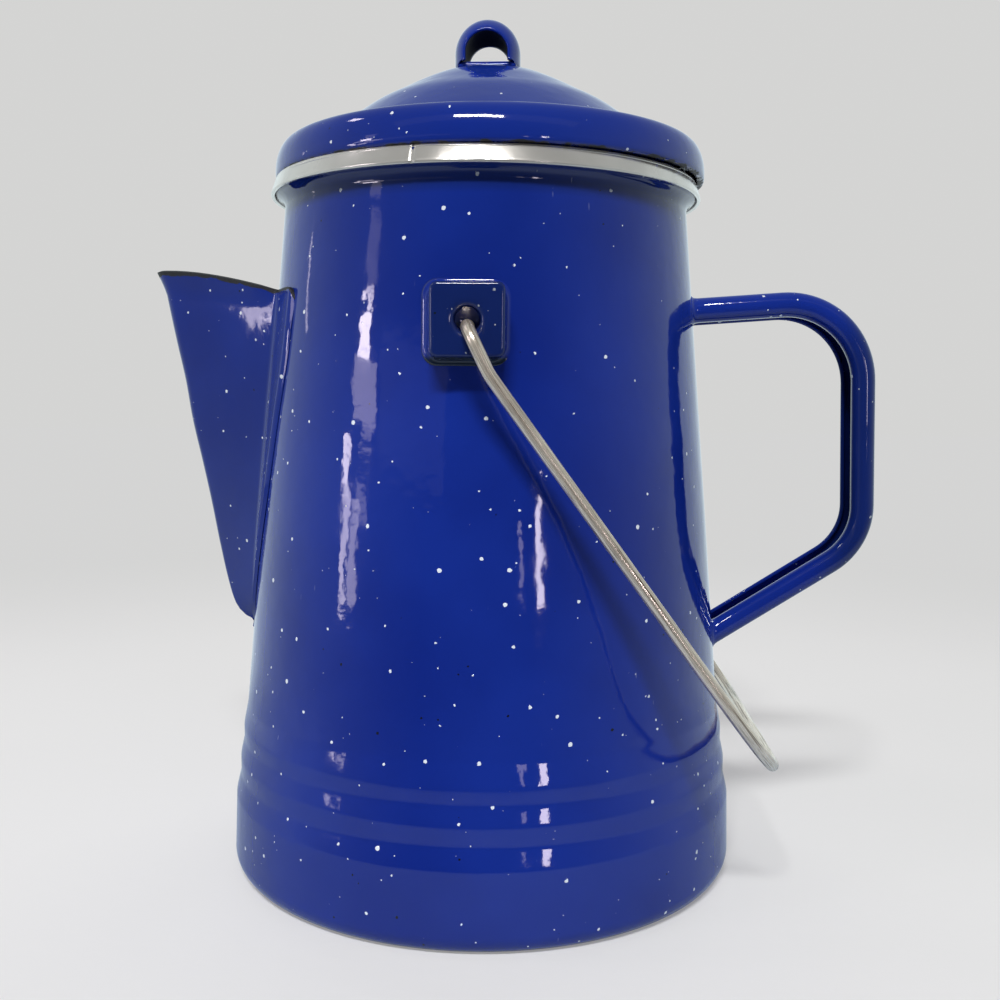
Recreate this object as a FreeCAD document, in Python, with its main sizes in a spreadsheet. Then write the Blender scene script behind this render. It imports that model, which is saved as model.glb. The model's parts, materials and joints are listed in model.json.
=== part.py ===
"""Enamelled steel camp coffee percolator: a tapered pot with a bail, and the pump and basket inside it.

Millimetres, +Z up. The origin is on the pot's axis at the plane that it stands on. The spout points along -X,
the side handle along +X, and the bail swings about an axis along Y through the two lugs.
"""
import FreeCAD, Part
import math
import os
import Sketcher

os.makedirs("parts", exist_ok=True)

Vector = FreeCAD.Vector
UP = Vector(0, 0, 1)

document = FreeCAD.newDocument("percolator")

# ---------------------------------------------------------------- driving dimensions
SIZES = {
    # pot wall: a cone with three shallow rolled beads above its foot
    "wall": 1.1,
    "cone_foot_radius": 89.39,
    "cone_slope": 0.111,
    "bead_height": 0.5,
    "bead_spread": 3.2,
    "bead_top": 53.0,
    "bead_pitch": 12.25,
    "foot_step": 0.9,
    "foot_step_level": 42.0,
    "foot_step_spread": 8.0,
    "foot_tuck": 3.5,
    "foot_tuck_reach": 3.0,
    "foot_corner": 6.5,
    "foot_lip_radius": 81.0,
    "bead_zone_top": 74.0,
    # mouth: the wall flares out and stands up inside the steel band
    "neck_level": 219.5,
    "flare_radius": 3.5,
    "flare_rise": 3.4,
    "mouth_radius": 67.9,
    "mouth_top": 227.6,
    "band_low": 223.0,
    "band_top": 228.2,
    "band_low_radius": 69.15,
    "band_top_radius": 68.2,
    "band_sheet": 0.5,
    "band_inner_radius": 66.9,
    "mouth_step": 0.8,
    # strainer holes behind the spout
    "strainer_radius": 2.4,
    "strainer_low": 112.0,
    "strainer_top": 185.0,
    "strainer_pitch": 11.0,
    "strainer_margin": 8.0,
    # spout
    "spout_wall": 1.1,
    "flange_thickness": 1.2,
    "flange_top": 190.5,
    "flange_corner": 4.0,
    # side handle
    "handle_width": 21.0,
    "handle_depth": 8.0,
    "handle_sheet": 1.3,
    "handle_upper_bend": 30.0,
    "handle_lower_bend": 25.0,
    # bail and its lugs
    "lug_level": 181.5,
    "wire_radius": 1.85,
    "bail_half_width": 84.0,
    "bail_reach": 162.0,
    "bail_half_top": 80.0,
    "bail_corner": 40.0,
    "bail_drop_angle": 54.0,
    "bail_kink": 2.4,
    "bail_kink_length": 14.0,
    "bail_pin_end": 72.6,
    "bail_bend": 5.0,
    "bail_level": 180.1,
    "lug_root": 64.0,
    "lug_face": 79.8,
    "lug_root_half_width": 14.3,
    "lug_root_half_height": 12.4,
    "lug_face_half_width": 10.2,
    "lug_face_half_height": 9.3,
    "lug_sheet": 1.2,
    "lug_hole_radius": 3.6,
    "lug_rounding": 1.9,
    "lug_hollow_rounding": 0.8,
    # lid
    "lid_sheet": 1.1,
    "lid_pad_level": 262.8,
    "brim_centre_radius": 64.0,
    "brim_centre_level": 230.2,
    "brim_roll_width": 4.9,
    "brim_roll_height": 9.0,
    "brim_low": 228.5,
    "skirt_radius": 63.1,
    "skirt_low": 216.0,
    "skirt_turn": 229.5,
    "skirt_root_radius": 59.4,
    "skirt_root_level": 236.2,
    "skirt_sheet": 0.8,
    "loop_half_width": 10.4,
    "loop_arch_level": 267.8,
    "loop_sheet": 3.0,
    "loop_base": 1.6,
    "loop_length": 17.6,
    "loop_rounding": 2.6,
    # pump
    "tube_radius": 4.5,
    "tube_sheet": 0.7,
    "tube_low": 22.0,
    "tube_top": 228.0,
    "pump_low": 2.9,
    "pump_foot_radius": 38.0,
    "pump_rim_height": 3.0,
    "pump_shoulder_radius": 9.0,
    "pump_shoulder_level": 20.0,
    "pump_collar_top": 30.0,
    "pump_neck": 4.0,
    "pump_inner_neck": 3.0,
    "pump_sheet": 0.9,
    "pump_slot_width": 7.0,
    "pump_slot_height": 2.4,
    "stop_level": 168.0,
    "stop_height": 3.6,
    "stop_radius": 6.8,
    "stop_chamfer": 0.6,
    # basket
    "basket_low": 171.8,
    "basket_top": 216.4,
    "basket_radius": 49.8,
    "basket_foot_radius": 46.8,
    "basket_sheet": 0.8,
    "basket_rim_radius": 52.4,
    "basket_chamfer": 2.0,
    "post_radius": 4.9,
    "post_sheet": 0.8,
    "post_top": 210.0,
    "basket_hole_radius": 1.1,
    # spreader cover on the basket
    "cover_level": 216.6,
    "cover_radius": 52.0,
    "cover_well_radius": 47.6,
    "cover_well_level": 212.6,
    "cover_sheet": 0.8,
    "collar_radius": 5.0,
    "collar_top": 219.5,
    "cover_hole_radius": 1.2,
}

sheet = document.addObject("Spreadsheet::Sheet", "Sizes")
sheet.Label = "Sizes"
for row, (alias, number) in enumerate(SIZES.items(), start=1):
    sheet.set("A%d" % row, alias)
    sheet.set("B%d" % row, str(number))
    sheet.setAlias("B%d" % row, alias)
document.recompute()


def size(alias):
    """A driving dimension, read from the sheet."""
    return float(sheet.get(alias))


def total(words):
    """The value of a sum such as "tube_radius + wall"."""
    amount = 0.0
    sign = 1
    for word in words.split():
        if word in "+-":
            sign = 1 if word == "+" else -1
        elif word in SIZES:
            amount += sign * size(word)
        else:
            amount += sign * float(word)
    return amount


def bind(target, prop, words):
    """Drives a property by a sum of sheet cells."""
    terms = ["Sizes." + word if word in SIZES else word for word in words.split()]
    target.setExpression(prop, " ".join(terms))


pieces = []


def keep(piece, label):
    """Marks a finished sub-part and gives it the name of its node."""
    piece.Label = label
    pieces.append(piece)
    return piece


# ---------------------------------------------------------------- helpers for PartDesign bodies
def new_body(label):
    body = document.addObject("PartDesign::Body", label + "_body")
    return keep(body, label)


def origin_plane(body, role):
    for feature in body.Origin.OriginFeatures:
        if feature.Role == role:
            return feature
    raise ValueError("no plane " + role)


def new_sketch(body, name, role):
    sketch = body.newObject("Sketcher::SketchObject", name)
    sketch.AttachmentSupport = [(origin_plane(body, role), "")]
    sketch.MapMode = "FlatFace"
    return sketch


def pin_point(sketch, geometry, end, across, up):
    """Holds one end of a sketch line at a place given by two sums of sheet cells."""
    for kind, words in (("DistanceX", across), ("DistanceY", up)):
        if total(words) == 0:
            on_axis = -2 if kind == "DistanceX" else -1
            sketch.addConstraint(Sketcher.Constraint("PointOnObject", geometry, end, on_axis))
            continue
        index = sketch.addConstraint(Sketcher.Constraint(kind, -1, 1, geometry, end, total(words)))
        bind(sketch, "Constraints[%d]" % index, words)


def closed_outline(sketch, corners):
    """A closed polygon through corners, each a pair of sums of sheet cells."""
    count = len(corners)
    places = [Vector(total(across), total(up), 0) for across, up in corners]
    for i in range(count):
        sketch.addGeometry(Part.LineSegment(places[i], places[(i + 1) % count]), False)
    for i in range(count):
        sketch.addConstraint(Sketcher.Constraint("Coincident", i, 2, (i + 1) % count, 1))
    for i, (across, up) in enumerate(corners):
        pin_point(sketch, i, 1, across, up)


def turned_body(label, corners):
    """A body turned about the pot's axis from one closed outline of (radius, level) corners."""
    body = new_body(label)
    sketch = new_sketch(body, label + "_outline", "XZ_Plane")
    closed_outline(sketch, corners)
    turning = body.newObject("PartDesign::Revolution", label + "_turning")
    turning.Profile = sketch
    turning.ReferenceAxis = (sketch, ["V_Axis"])
    turning.Angle = 360
    document.recompute()
    return body


def ring_of_holes(body, name, across, radius, count):
    """Drills a circle of holes, parallel to the axis, right through a body."""
    before = body.Shape.Volume
    sketch = new_sketch(body, name, "XY_Plane")
    sketch.addGeometry(Part.Circle(Vector(across, 0, 0), UP, size(radius)), False)
    sketch.addConstraint(Sketcher.Constraint("PointOnObject", 0, 3, -1))
    sketch.addConstraint(Sketcher.Constraint("DistanceX", -1, 1, 0, 3, across))
    index = sketch.addConstraint(Sketcher.Constraint("Radius", 0, size(radius)))
    bind(sketch, "Constraints[%d]" % index, radius)
    hole = body.newObject("PartDesign::Pocket", name + "_hole")
    hole.Profile = sketch
    hole.Type = "ThroughAll"
    hole.Midplane = True
    document.recompute()
    ring = body.newObject("PartDesign::PolarPattern", name + "_ring")
    ring.Originals = [hole]
    ring.Axis = (sketch, ["N_Axis"])
    ring.Angle = 360
    ring.Occurrences = count
    body.Tip = ring
    document.recompute()
    if body.Shape.Volume >= before:
        raise ValueError(name + " cut nothing")


# ---------------------------------------------------------------- helpers for shapes made directly
def feature(label, shape):
    """A sub-part whose shape is made by Part's own functions."""
    piece = document.addObject("Part::Feature", label + "_solid")
    piece.Shape = shape
    piece.Placement = FreeCAD.Placement()
    return keep(piece, label)


def spline_edge(points, start=None, end=None):
    curve = Part.BSplineCurve()
    if start is None:
        curve.interpolate(points)
    else:
        curve.interpolate(Points=points, InitialTangent=start, FinalTangent=end)
    return curve.toShape()


def ends(edge):
    return edge.valueAt(edge.FirstParameter), edge.valueAt(edge.LastParameter)


def line_edge(first, second):
    return Part.LineSegment(first, second).toShape()


def turned(edges):
    """A solid turned about the pot's axis from a closed run of edges in the XZ plane."""
    outline = Part.Wire(Part.__sortEdges__(edges))
    return Part.Face(outline).revolve(Vector(0, 0, 0), UP, 360)


def rounded_path(points, radii):
    """Straight runs through points, with a tangent arc of the given radius at each inner point."""
    edges = []
    place = points[0]
    for before, corner, after, radius in zip(points, points[1:], points[2:], radii):
        arriving = (corner - before).normalize()
        leaving = (after - corner).normalize()
        turn = arriving.getAngle(leaving)
        reach = radius * math.tan(turn / 2)
        start = corner - arriving * reach
        end = corner + leaving * reach
        inward = (leaving - arriving).normalize()
        middle = corner + inward * (radius / math.cos(turn / 2) - radius)
        edges.append(line_edge(place, start))
        edges.append(Part.Arc(start, middle, end).toShape())
        place = end
    edges.append(line_edge(place, points[-1]))
    return Part.Wire(edges)


def swept(path, section, binormal):
    """A closed section drawn along a flat path, which keeps its upright along the path's normal."""
    pipe = Part.BRepOffsetAPI.MakePipeShell(path)
    pipe.setBiNormalMode(binormal)
    pipe.add(section)
    pipe.build()
    pipe.makeSolid()
    return pipe.shape()


def round_rod(path, radius):
    """A round rod along a path: a cylinder for each straight run and a piece of a ring for each arc."""
    rod = None
    for edge in path.Edges:
        start, end = ends(edge)
        if edge.Curve.TypeId == "Part::GeomLine":
            run = end - start
            piece = Part.makeCylinder(radius, run.Length, start, run)
        else:
            tangent = edge.tangentAt(edge.FirstParameter)
            disc = Part.Face(Part.Wire(Part.Circle(start, tangent, radius).toShape()))
            turn = math.degrees(edge.LastParameter - edge.FirstParameter)
            piece = disc.revolve(edge.Curve.Center, edge.Curve.Axis, turn)
        rod = piece if rod is None else rod.fuse(piece)
    return rod.removeSplitter()


# ---------------------------------------------------------------- pot wall
def cone_radius(level):
    """Outer radius of the plain cone, which the wall follows above the beads."""
    return size("cone_foot_radius") - size("cone_slope") * level


def wall_radius(level):
    """Outer radius of the pot: the cone, its widened foot, the three beads and the tuck at the floor."""
    radius = cone_radius(level)
    radius += size("foot_step") / (1 + math.exp((level - size("foot_step_level")) / size("foot_step_spread")))
    for bead in range(3):
        offset = (level - size("bead_top") + bead * size("bead_pitch")) / size("bead_spread")
        radius += size("bead_height") * math.exp(-offset * offset)
    return radius - size("foot_tuck") * math.exp(-level / size("foot_tuck_reach"))


def straight_radius(level):
    """Outer radius of the straight stretch of the wall, between the beads and the neck."""
    low, high = size("bead_zone_top"), size("neck_level")
    share = (level - low) / (high - low)
    return wall_radius(low) * (1 - share) + cone_radius(high) * share


def wall_curve(inset):
    """The wall's curved stretch, from the top of the foot's corner to the top of the beads."""
    low = size("foot_corner")
    top = size("bead_zone_top")
    steps = 36
    levels = [low + (top - low) * step / steps for step in range(steps + 1)]
    return spline_edge([Vector(wall_radius(level) - inset, 0, level) for level in levels])


def round_arc(centre, radius, first_degrees, last_degrees):
    """An arc in the XZ plane; 0 degrees points along +X and 90 along +Z."""
    places = []
    for degrees in (first_degrees, (first_degrees + last_degrees) / 2, last_degrees):
        angle = math.radians(degrees)
        places.append(centre + Vector(radius * math.cos(angle), 0, radius * math.sin(angle)))
    return Part.Arc(*places).toShape()


def flare_arc(inset):
    """The mouth's outward flare, tangent to the cone at the neck."""
    tilt = math.degrees(math.atan(size("cone_slope")))
    radius = size("flare_radius") + inset
    start = Vector(cone_radius(size("neck_level")), 0, size("neck_level"))
    outward = Vector(math.cos(math.radians(tilt)), 0, math.sin(math.radians(tilt)))
    centre = start + outward * size("flare_radius")
    turn = math.degrees(math.asin(size("flare_rise") / size("flare_radius")))
    return round_arc(centre, radius, 180 + tilt, 180 + tilt - turn)


def wall_profile():
    """The section of the pot wall, from the lip under the foot to the top of the mouth."""
    wall = size("wall")
    corner = size("foot_corner")
    outer_foot = round_arc(Vector(wall_radius(corner) - corner, 0, corner), corner, -90, 0)
    inner_foot = round_arc(Vector(wall_radius(corner) - corner, 0, corner), corner - wall, -90, 0)
    outer_wall = wall_curve(0)
    inner_wall = wall_curve(wall)
    outer_flare = flare_arc(0)
    inner_flare = flare_arc(wall)
    lip = size("foot_lip_radius")
    mouth_low = ends(outer_flare)[1].z + size("mouth_step")
    outer_mouth = Vector(size("mouth_radius"), 0, mouth_low)
    outer_top = Vector(size("mouth_radius"), 0, size("mouth_top"))
    inner_top = Vector(size("mouth_radius") - wall, 0, size("mouth_top"))
    inner_mouth = Vector(size("mouth_radius") - wall, 0, mouth_low + wall / 2)
    foot_start = ends(outer_foot)[0]
    inner_foot_start = ends(inner_foot)[0]
    return [
        line_edge(Vector(lip, 0, 0), foot_start),
        outer_foot,
        outer_wall,
        line_edge(ends(outer_wall)[1], ends(outer_flare)[0]),
        outer_flare,
        line_edge(ends(outer_flare)[1], outer_mouth),
        line_edge(outer_mouth, outer_top),
        line_edge(outer_top, inner_top),
        line_edge(inner_top, inner_mouth),
        line_edge(inner_mouth, ends(inner_flare)[1]),
        inner_flare,
        line_edge(ends(inner_flare)[0], ends(inner_wall)[1]),
        inner_wall,
        inner_foot,
        line_edge(inner_foot_start, Vector(lip, 0, wall)),
        line_edge(Vector(lip, 0, wall), Vector(lip, 0, 0)),
    ]


def pot_solid(growth=0.0):
    """The pot as a filled solid, cut from the pieces that are welded to its outside."""
    curve = wall_curve(-growth)
    low, high = ends(curve)
    neck = Vector(cone_radius(size("neck_level")) + growth, 0, size("neck_level"))
    return turned([
        line_edge(Vector(0, 0, low.z), low),
        curve,
        line_edge(high, neck),
        line_edge(neck, Vector(0, 0, neck.z)),
        line_edge(Vector(0, 0, neck.z), Vector(0, 0, low.z)),
    ])


# ---------------------------------------------------------------- spout outline
# (level at the nose, distance of the nose from the axis, half width at the pot, tilt of the section)
SPOUT_STATIONS = [
    (80.0, 75.0, 4.0, 0.0),
    (85.0, 84.0, 8.0, 0.0),
    (90.0, 89.6, 11.0, 0.0),
    (98.0, 92.0, 14.0, 0.0),
    (126.0, 96.7, 20.5, 0.04),
    (154.0, 101.6, 24.5, 0.10),
    (180.0, 105.8, 27.5, 0.15),
    (195.5, 108.4, 28.6, 0.16),
    (201.0, 110.6, 29.8, 0.16),
    (204.0, 111.4, 30.3, 0.16),
]
# Distance from the axis at which every section of the spout starts, well inside the pot's wall.
SPOUT_ROOT = 40.0
# Half the width, and the level, of a block that is sure to clear the whole spout.
BEYOND_SPOUT = 60.0
ABOVE_SPOUT = 240.0
# Distance from the axis that is past the spout's nose.
PAST_NOSE = 125.0


def spout_half_width(level):
    """Half width of the spout at the pot wall, at a level."""
    for low, high in zip(SPOUT_STATIONS, SPOUT_STATIONS[1:]):
        if low[0] <= level <= high[0]:
            share = (level - low[0]) / (high[0] - low[0])
            return low[2] + (high[2] - low[2]) * share
    return 0.0


def spout_section(level, nose, half_width, tilt, inset):
    """One closed section of the spout: a rounded V that is open towards the pot."""
    nose -= inset
    half_width -= inset
    root = SPOUT_ROOT

    def place(distance, across):
        return Vector(-distance, across, level - tilt * (nose - distance))

    reach = nose - root
    poles = [
        place(root, -half_width - 1),
        place(root + 0.45 * reach, -half_width),
        place(nose - 0.18 * reach, -half_width * 0.72),
        place(nose, -half_width * 0.30),
        place(nose, half_width * 0.30),
        place(nose - 0.18 * reach, half_width * 0.72),
        place(root + 0.45 * reach, half_width),
        place(root, half_width + 1),
    ]
    curve = Part.BSplineCurve()
    curve.buildFromPoles(poles, False, 3)
    return Part.Wire([curve.toShape(), line_edge(poles[-1], poles[0])])


def spout_loft(inset):
    sections = [spout_section(*station, inset) for station in SPOUT_STATIONS]
    return Part.makeLoft(sections, True, False)


# The rim seen from the side, from the pot out to the nose: (distance from the axis, level).
SPOUT_RIM = [
    (50.0, 189.0),
    (67.0, 194.0),
    (75.0, 196.3),
    (85.0, 198.8),
    (95.0, 200.3),
    (104.0, 201.0),
    (116.0, 201.0),
]
# Edge of the flange that is welded to the pot, on one side: (half width, level).
FLANGE_EDGE = [
    (0.0, 79.5),
    (8.0, 82.5),
    (16.0, 91.0),
    (25.0, 108.0),
    (31.5, 129.0),
    (36.0, 153.0),
    (39.6, 184.0),
]


def above_spout_rim():
    """Everything higher than the spout's rim."""
    side = -BEYOND_SPOUT
    rim = spline_edge([Vector(-distance, side, level) for distance, level in SPOUT_RIM])
    first, last = ends(rim)
    over_nose = Vector(last.x, side, ABOVE_SPOUT)
    over_pot = Vector(first.x, side, ABOVE_SPOUT)
    outline = Part.Wire([
        rim,
        line_edge(last, over_nose),
        line_edge(over_nose, over_pot),
        line_edge(over_pot, first),
    ])
    return Part.Face(outline).extrude(Vector(0, 2 * BEYOND_SPOUT, 0))


def spout_flange():
    """The spout's turned edge: a thin patch that follows the pot wall."""
    right = [Vector(0, across, level) for across, level in FLANGE_EDGE]
    left = [Vector(0, -across, level) for across, level in reversed(FLANGE_EDGE)]
    top = size("flange_top")
    corner = size("flange_corner")
    edge = spline_edge(left + right[1:])
    half = right[-1].y

    def corner_arc(side):
        """The rounded upper corner on one side, and its two ends: on the upright edge and on the top."""
        centre = Vector(0, side * (half - corner), top - corner)
        upright_end = centre + Vector(0, side * corner, 0)
        top_end = centre + Vector(0, 0, corner)
        reach = corner * math.sqrt(0.5)
        middle = centre + Vector(0, side * reach, reach)
        return upright_end, Part.Arc(upright_end, middle, top_end).toShape(), top_end

    right_low, right_arc, right_top = corner_arc(1)
    left_low, left_arc, left_top = corner_arc(-1)
    outline = Part.Wire(Part.__sortEdges__([
        edge,
        line_edge(right[-1], right_low),
        right_arc,
        line_edge(right_top, left_top),
        left_arc,
        line_edge(left_low, left[0]),
    ]))
    block = Part.Face(outline).extrude(Vector(-PAST_NOSE, 0, 0))
    return block.common(pot_solid(size("flange_thickness")))


# ---------------------------------------------------------------- pot: shell, bottom, band
def strainer_holes():
    """Rods through the wall behind the spout, in rows that widen upwards."""
    rods = []
    pitch = size("strainer_pitch")
    low = size("strainer_low")
    outwards = Vector(-1, 0, 0)
    for row in range(1 + int((size("strainer_top") - low) / pitch)):
        level = low + row * pitch
        half_width = spout_half_width(level) - size("strainer_margin")
        count = max(1, int(2 * half_width / pitch) + 1)
        for column in range(count):
            across = (column - (count - 1) / 2) * pitch
            start = Vector(-SPOUT_ROOT, across, level)
            rods.append(Part.makeCylinder(size("strainer_radius"), BEYOND_SPOUT, start, outwards))
    return rods


pot_wall = turned(wall_profile())
for rod in strainer_holes():
    pot_wall = pot_wall.cut(rod)
feature("pot_shell", pot_wall)

turned_body("bottom_plate", [
    ("0", "0"),
    ("foot_lip_radius", "0"),
    ("foot_lip_radius", "wall"),
    ("0", "wall"),
])

turned_body("rim_band", [
    ("mouth_radius", "band_low"),
    ("band_low_radius - band_sheet", "band_low"),
    ("band_low_radius", "band_low + band_sheet"),
    ("band_top_radius", "band_top - band_sheet"),
    ("band_top_radius - band_sheet", "band_top"),
    ("band_inner_radius", "band_top"),
    ("band_inner_radius", "mouth_top"),
    ("mouth_radius", "mouth_top"),
])

# ---------------------------------------------------------------- spout
spout = spout_loft(0).cut(spout_loft(size("spout_wall")))
spout = spout.cut(above_spout_rim())
spout = spout.fuse(spout_flange().cut(spout_loft(size("spout_wall"))))
spout = spout.cut(pot_solid())
feature("spout", max(spout.Solids, key=lambda solid: solid.Volume))


# ---------------------------------------------------------------- side handle
# Corners of the handle's outer line, from inside the wall near the neck to inside the wall above the beads.
HANDLE_CORNERS = [(62.0, 193.2), (126.2, 197.7), (132.2, 112.5), (72.0, 72.5)]


def handle_path():
    points = [Vector(distance, 0, level) for distance, level in HANDLE_CORNERS]
    return rounded_path(points, [size("handle_upper_bend"), size("handle_lower_bend")])


def channel_section(path):
    """The strap's section at the path's upper end: flat outside, both long edges rolled in a half circle."""
    start, end = ends(path.Edges[0])
    along = (end - start).normalize()
    across = Vector(0, 1, 0)
    outward = across.cross(along) * -1
    if outward.z < 0:
        outward = outward * -1
    depth = size("handle_depth")
    metal = size("handle_sheet")
    roll = depth / 2
    roll_centre = size("handle_width") / 2 - roll

    def place(side, drop):
        return start + across * side - outward * drop

    def rolled_edge(side, inset):
        """A half circle from the strap's back round to the edge that faces the pot."""
        back = place(side * roll_centre, inset)
        middle = place(side * (roll_centre + roll - inset), roll)
        front = place(side * roll_centre, depth - inset)
        return back, Part.Arc(back, middle, front).toShape(), front

    outer_left, outer_left_roll, outer_left_edge = rolled_edge(-1, 0)
    outer_right, outer_right_roll, outer_right_edge = rolled_edge(1, 0)
    inner_left, inner_left_roll, inner_left_edge = rolled_edge(-1, metal)
    inner_right, inner_right_roll, inner_right_edge = rolled_edge(1, metal)
    return Part.Wire([
        outer_left_roll,
        line_edge(outer_left, outer_right),
        outer_right_roll,
        line_edge(outer_right_edge, inner_right_edge),
        inner_right_roll,
        line_edge(inner_right, inner_left),
        inner_left_roll,
        line_edge(inner_left_edge, outer_left_edge),
    ])


path = handle_path()
handle = swept(path, channel_section(path), Vector(0, 1, 0)).cut(pot_solid())
feature("handle", max(handle.Solids, key=lambda solid: solid.Volume))


# ---------------------------------------------------------------- bail lugs
# Height of the stretch of the pot that a lug is fitted to, and the length of the rod that pierces a lug.
POT_CORE_HEIGHT = 60.0
LUG_ROD_LENGTH = 40.0


def wedge(name, inset, root, face):
    """A drafted block that narrows away from the pot, along +Y."""
    block = document.addObject("Part::Wedge", name)
    for side, half in (("X", "width"), ("Z", "height")):
        bind(block, side + "min", "0 - lug_root_half_%s + %s" % (half, inset))
        bind(block, side + "max", "lug_root_half_%s - %s" % (half, inset))
        bind(block, side + "2min", "0 - lug_face_half_%s + %s" % (half, inset))
        bind(block, side + "2max", "lug_face_half_%s - %s" % (half, inset))
    bind(block, "Ymin", root)
    bind(block, "Ymax", face)
    return block


def rounded(name, block, alias):
    """Rounds every edge of a block to a radius from the sheet."""
    document.recompute()
    radius = size(alias)
    softened = document.addObject("Part::Fillet", name)
    softened.Base = block
    softened.Edges = [(edge + 1, radius, radius) for edge in range(len(block.Shape.Edges))]
    document.recompute()
    return softened


def subtract(name, base, tool):
    result = document.addObject("Part::Cut", name)
    result.Base = base
    result.Tool = tool
    document.recompute()
    return result


def bail_lug(label, half_turn):
    """A hollow pressed cap on the pot wall, with the hole that the bail's end sits in."""
    block = wedge(label + "_block", "0", "lug_root", "lug_face")
    outside = rounded(label + "_rounding", block, "lug_rounding")
    hollow = rounded(
        label + "_hollow_rounding",
        wedge(label + "_hollow", "lug_sheet", "lug_root - lug_sheet", "lug_face - lug_sheet"),
        "lug_hollow_rounding",
    )
    cap = subtract(label + "_cap", outside, hollow)
    hole = document.addObject("Part::Cylinder", label + "_hole")
    bind(hole, "Radius", "lug_hole_radius")
    hole.Height = LUG_ROD_LENGTH
    start = Vector(0, size("lug_face") - LUG_ROD_LENGTH / 2, 0)
    hole.Placement = FreeCAD.Placement(start, FreeCAD.Rotation(Vector(1, 0, 0), -90))
    pierced = subtract(label + "_pierced", cap, hole)
    pierced.Placement = FreeCAD.Placement(
        Vector(0, 0, size("lug_level")), FreeCAD.Rotation(UP, 180 if half_turn else 0)
    )
    pot_core = document.addObject("Part::Cone", label + "_pot")
    low = size("lug_level") - POT_CORE_HEIGHT / 2
    pot_core.Radius1 = straight_radius(low)
    pot_core.Radius2 = straight_radius(low + POT_CORE_HEIGHT)
    pot_core.Height = POT_CORE_HEIGHT
    pot_core.Placement = FreeCAD.Placement(Vector(0, 0, low), FreeCAD.Rotation())
    return keep(subtract(label + "_fitted", pierced, pot_core), label)


bail_lug("bail_lug_front", True)
bail_lug("bail_lug_rear", False)


# ---------------------------------------------------------------- bail
def bail_point(reach, across, lift):
    """A place in the bail's own frame: along the arms, across the pot, and square to the arms."""
    drop = math.radians(size("bail_drop_angle"))
    return Vector(
        reach * math.cos(drop) + lift * math.sin(drop),
        across,
        size("bail_level") - reach * math.sin(drop) + lift * math.cos(drop),
    )


def bail_arm(side):
    half = size("bail_half_width") * side
    return [
        bail_point(0, size("bail_pin_end") * side, 0),
        bail_point(0, half, 0),
        bail_point(size("bail_kink_length"), half, -size("bail_kink")),
        bail_point(size("bail_reach"), size("bail_half_top") * side, 0),
    ]


bail_points = bail_arm(-1) + list(reversed(bail_arm(1)))
bend = size("bail_bend")
corner = size("bail_corner")
bail_path = rounded_path(bail_points, [bend, 3 * bend, corner, corner, 3 * bend, bend])
feature("bail_wire", round_rod(bail_path, size("wire_radius")))


# ---------------------------------------------------------------- lid
# Top of the dome from the flat pad out to the crest of the brim: (radius, level).
DOME = [
    (11.0, 262.8),
    (24.0, 258.9),
    (31.6, 255.4),
    (38.5, 251.8),
    (46.9, 246.1),
    (53.0, 241.4),
    (58.6, 237.8),
    (64.0, 239.2),
]


def dome_edges():
    """The upper and lower curves of the dome's sheet."""
    leaving_pad = Vector(1, 0, -0.12)
    along_crest = Vector(1, 0, 0)
    upper = spline_edge([Vector(radius, 0, level) for radius, level in DOME], leaving_pad, along_crest)
    curve = upper.Curve
    lower = []
    for radius, level in DOME:
        spot = Vector(radius, 0, level)
        tangent = Vector(*curve.tangent(curve.parameter(spot))[0])
        normal = Vector(tangent.z, 0, -tangent.x)
        lower.append(spot + normal * size("lid_sheet"))
    lower[0] = Vector(DOME[0][0], 0, DOME[0][1] - size("lid_sheet"))
    lower[-1] = Vector(DOME[-1][0], 0, DOME[-1][1] - size("lid_sheet"))
    return upper, spline_edge(lower, leaving_pad, along_crest)


def brim_arc(inset):
    """A quarter of an ellipse, from the crest of the brim to its outermost line."""
    centre = Vector(size("brim_centre_radius"), 0, size("brim_centre_level"))
    height = size("brim_roll_height") - inset
    width = size("brim_roll_width") - inset
    places = []
    for step in range(7):
        angle = math.radians(90 - 15 * step)
        places.append(centre + Vector(width * math.cos(angle), 0, height * math.sin(angle)))
    return spline_edge(places, Vector(1, 0, 0), Vector(0, 0, -1))


def lid_edges():
    upper, lower = dome_edges()
    outer = brim_arc(0)
    inner = brim_arc(size("lid_sheet"))
    pad_top = Vector(0, 0, size("lid_pad_level"))
    pad_low = pad_top - Vector(0, 0, size("lid_sheet"))
    low = size("brim_low")
    outer_end = ends(outer)[1]
    inner_end = ends(inner)[1]
    return [
        line_edge(pad_top, ends(upper)[0]),
        upper,
        outer,
        line_edge(outer_end, Vector(outer_end.x, 0, low)),
        line_edge(Vector(outer_end.x, 0, low), Vector(inner_end.x, 0, low)),
        line_edge(Vector(inner_end.x, 0, low), inner_end),
        inner,
        lower,
        line_edge(ends(lower)[0], pad_low),
        line_edge(pad_low, pad_top),
    ]


feature("lid_shell", turned(lid_edges()))

turned_body("lid_skirt", [
    ("skirt_radius", "skirt_low"),
    ("skirt_radius", "skirt_turn"),
    ("skirt_root_radius", "skirt_root_level"),
    ("skirt_root_radius - skirt_sheet", "skirt_root_level - skirt_sheet"),
    ("skirt_radius - skirt_sheet", "skirt_turn - skirt_sheet"),
    ("skirt_radius - skirt_sheet", "skirt_low"),
])


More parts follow.
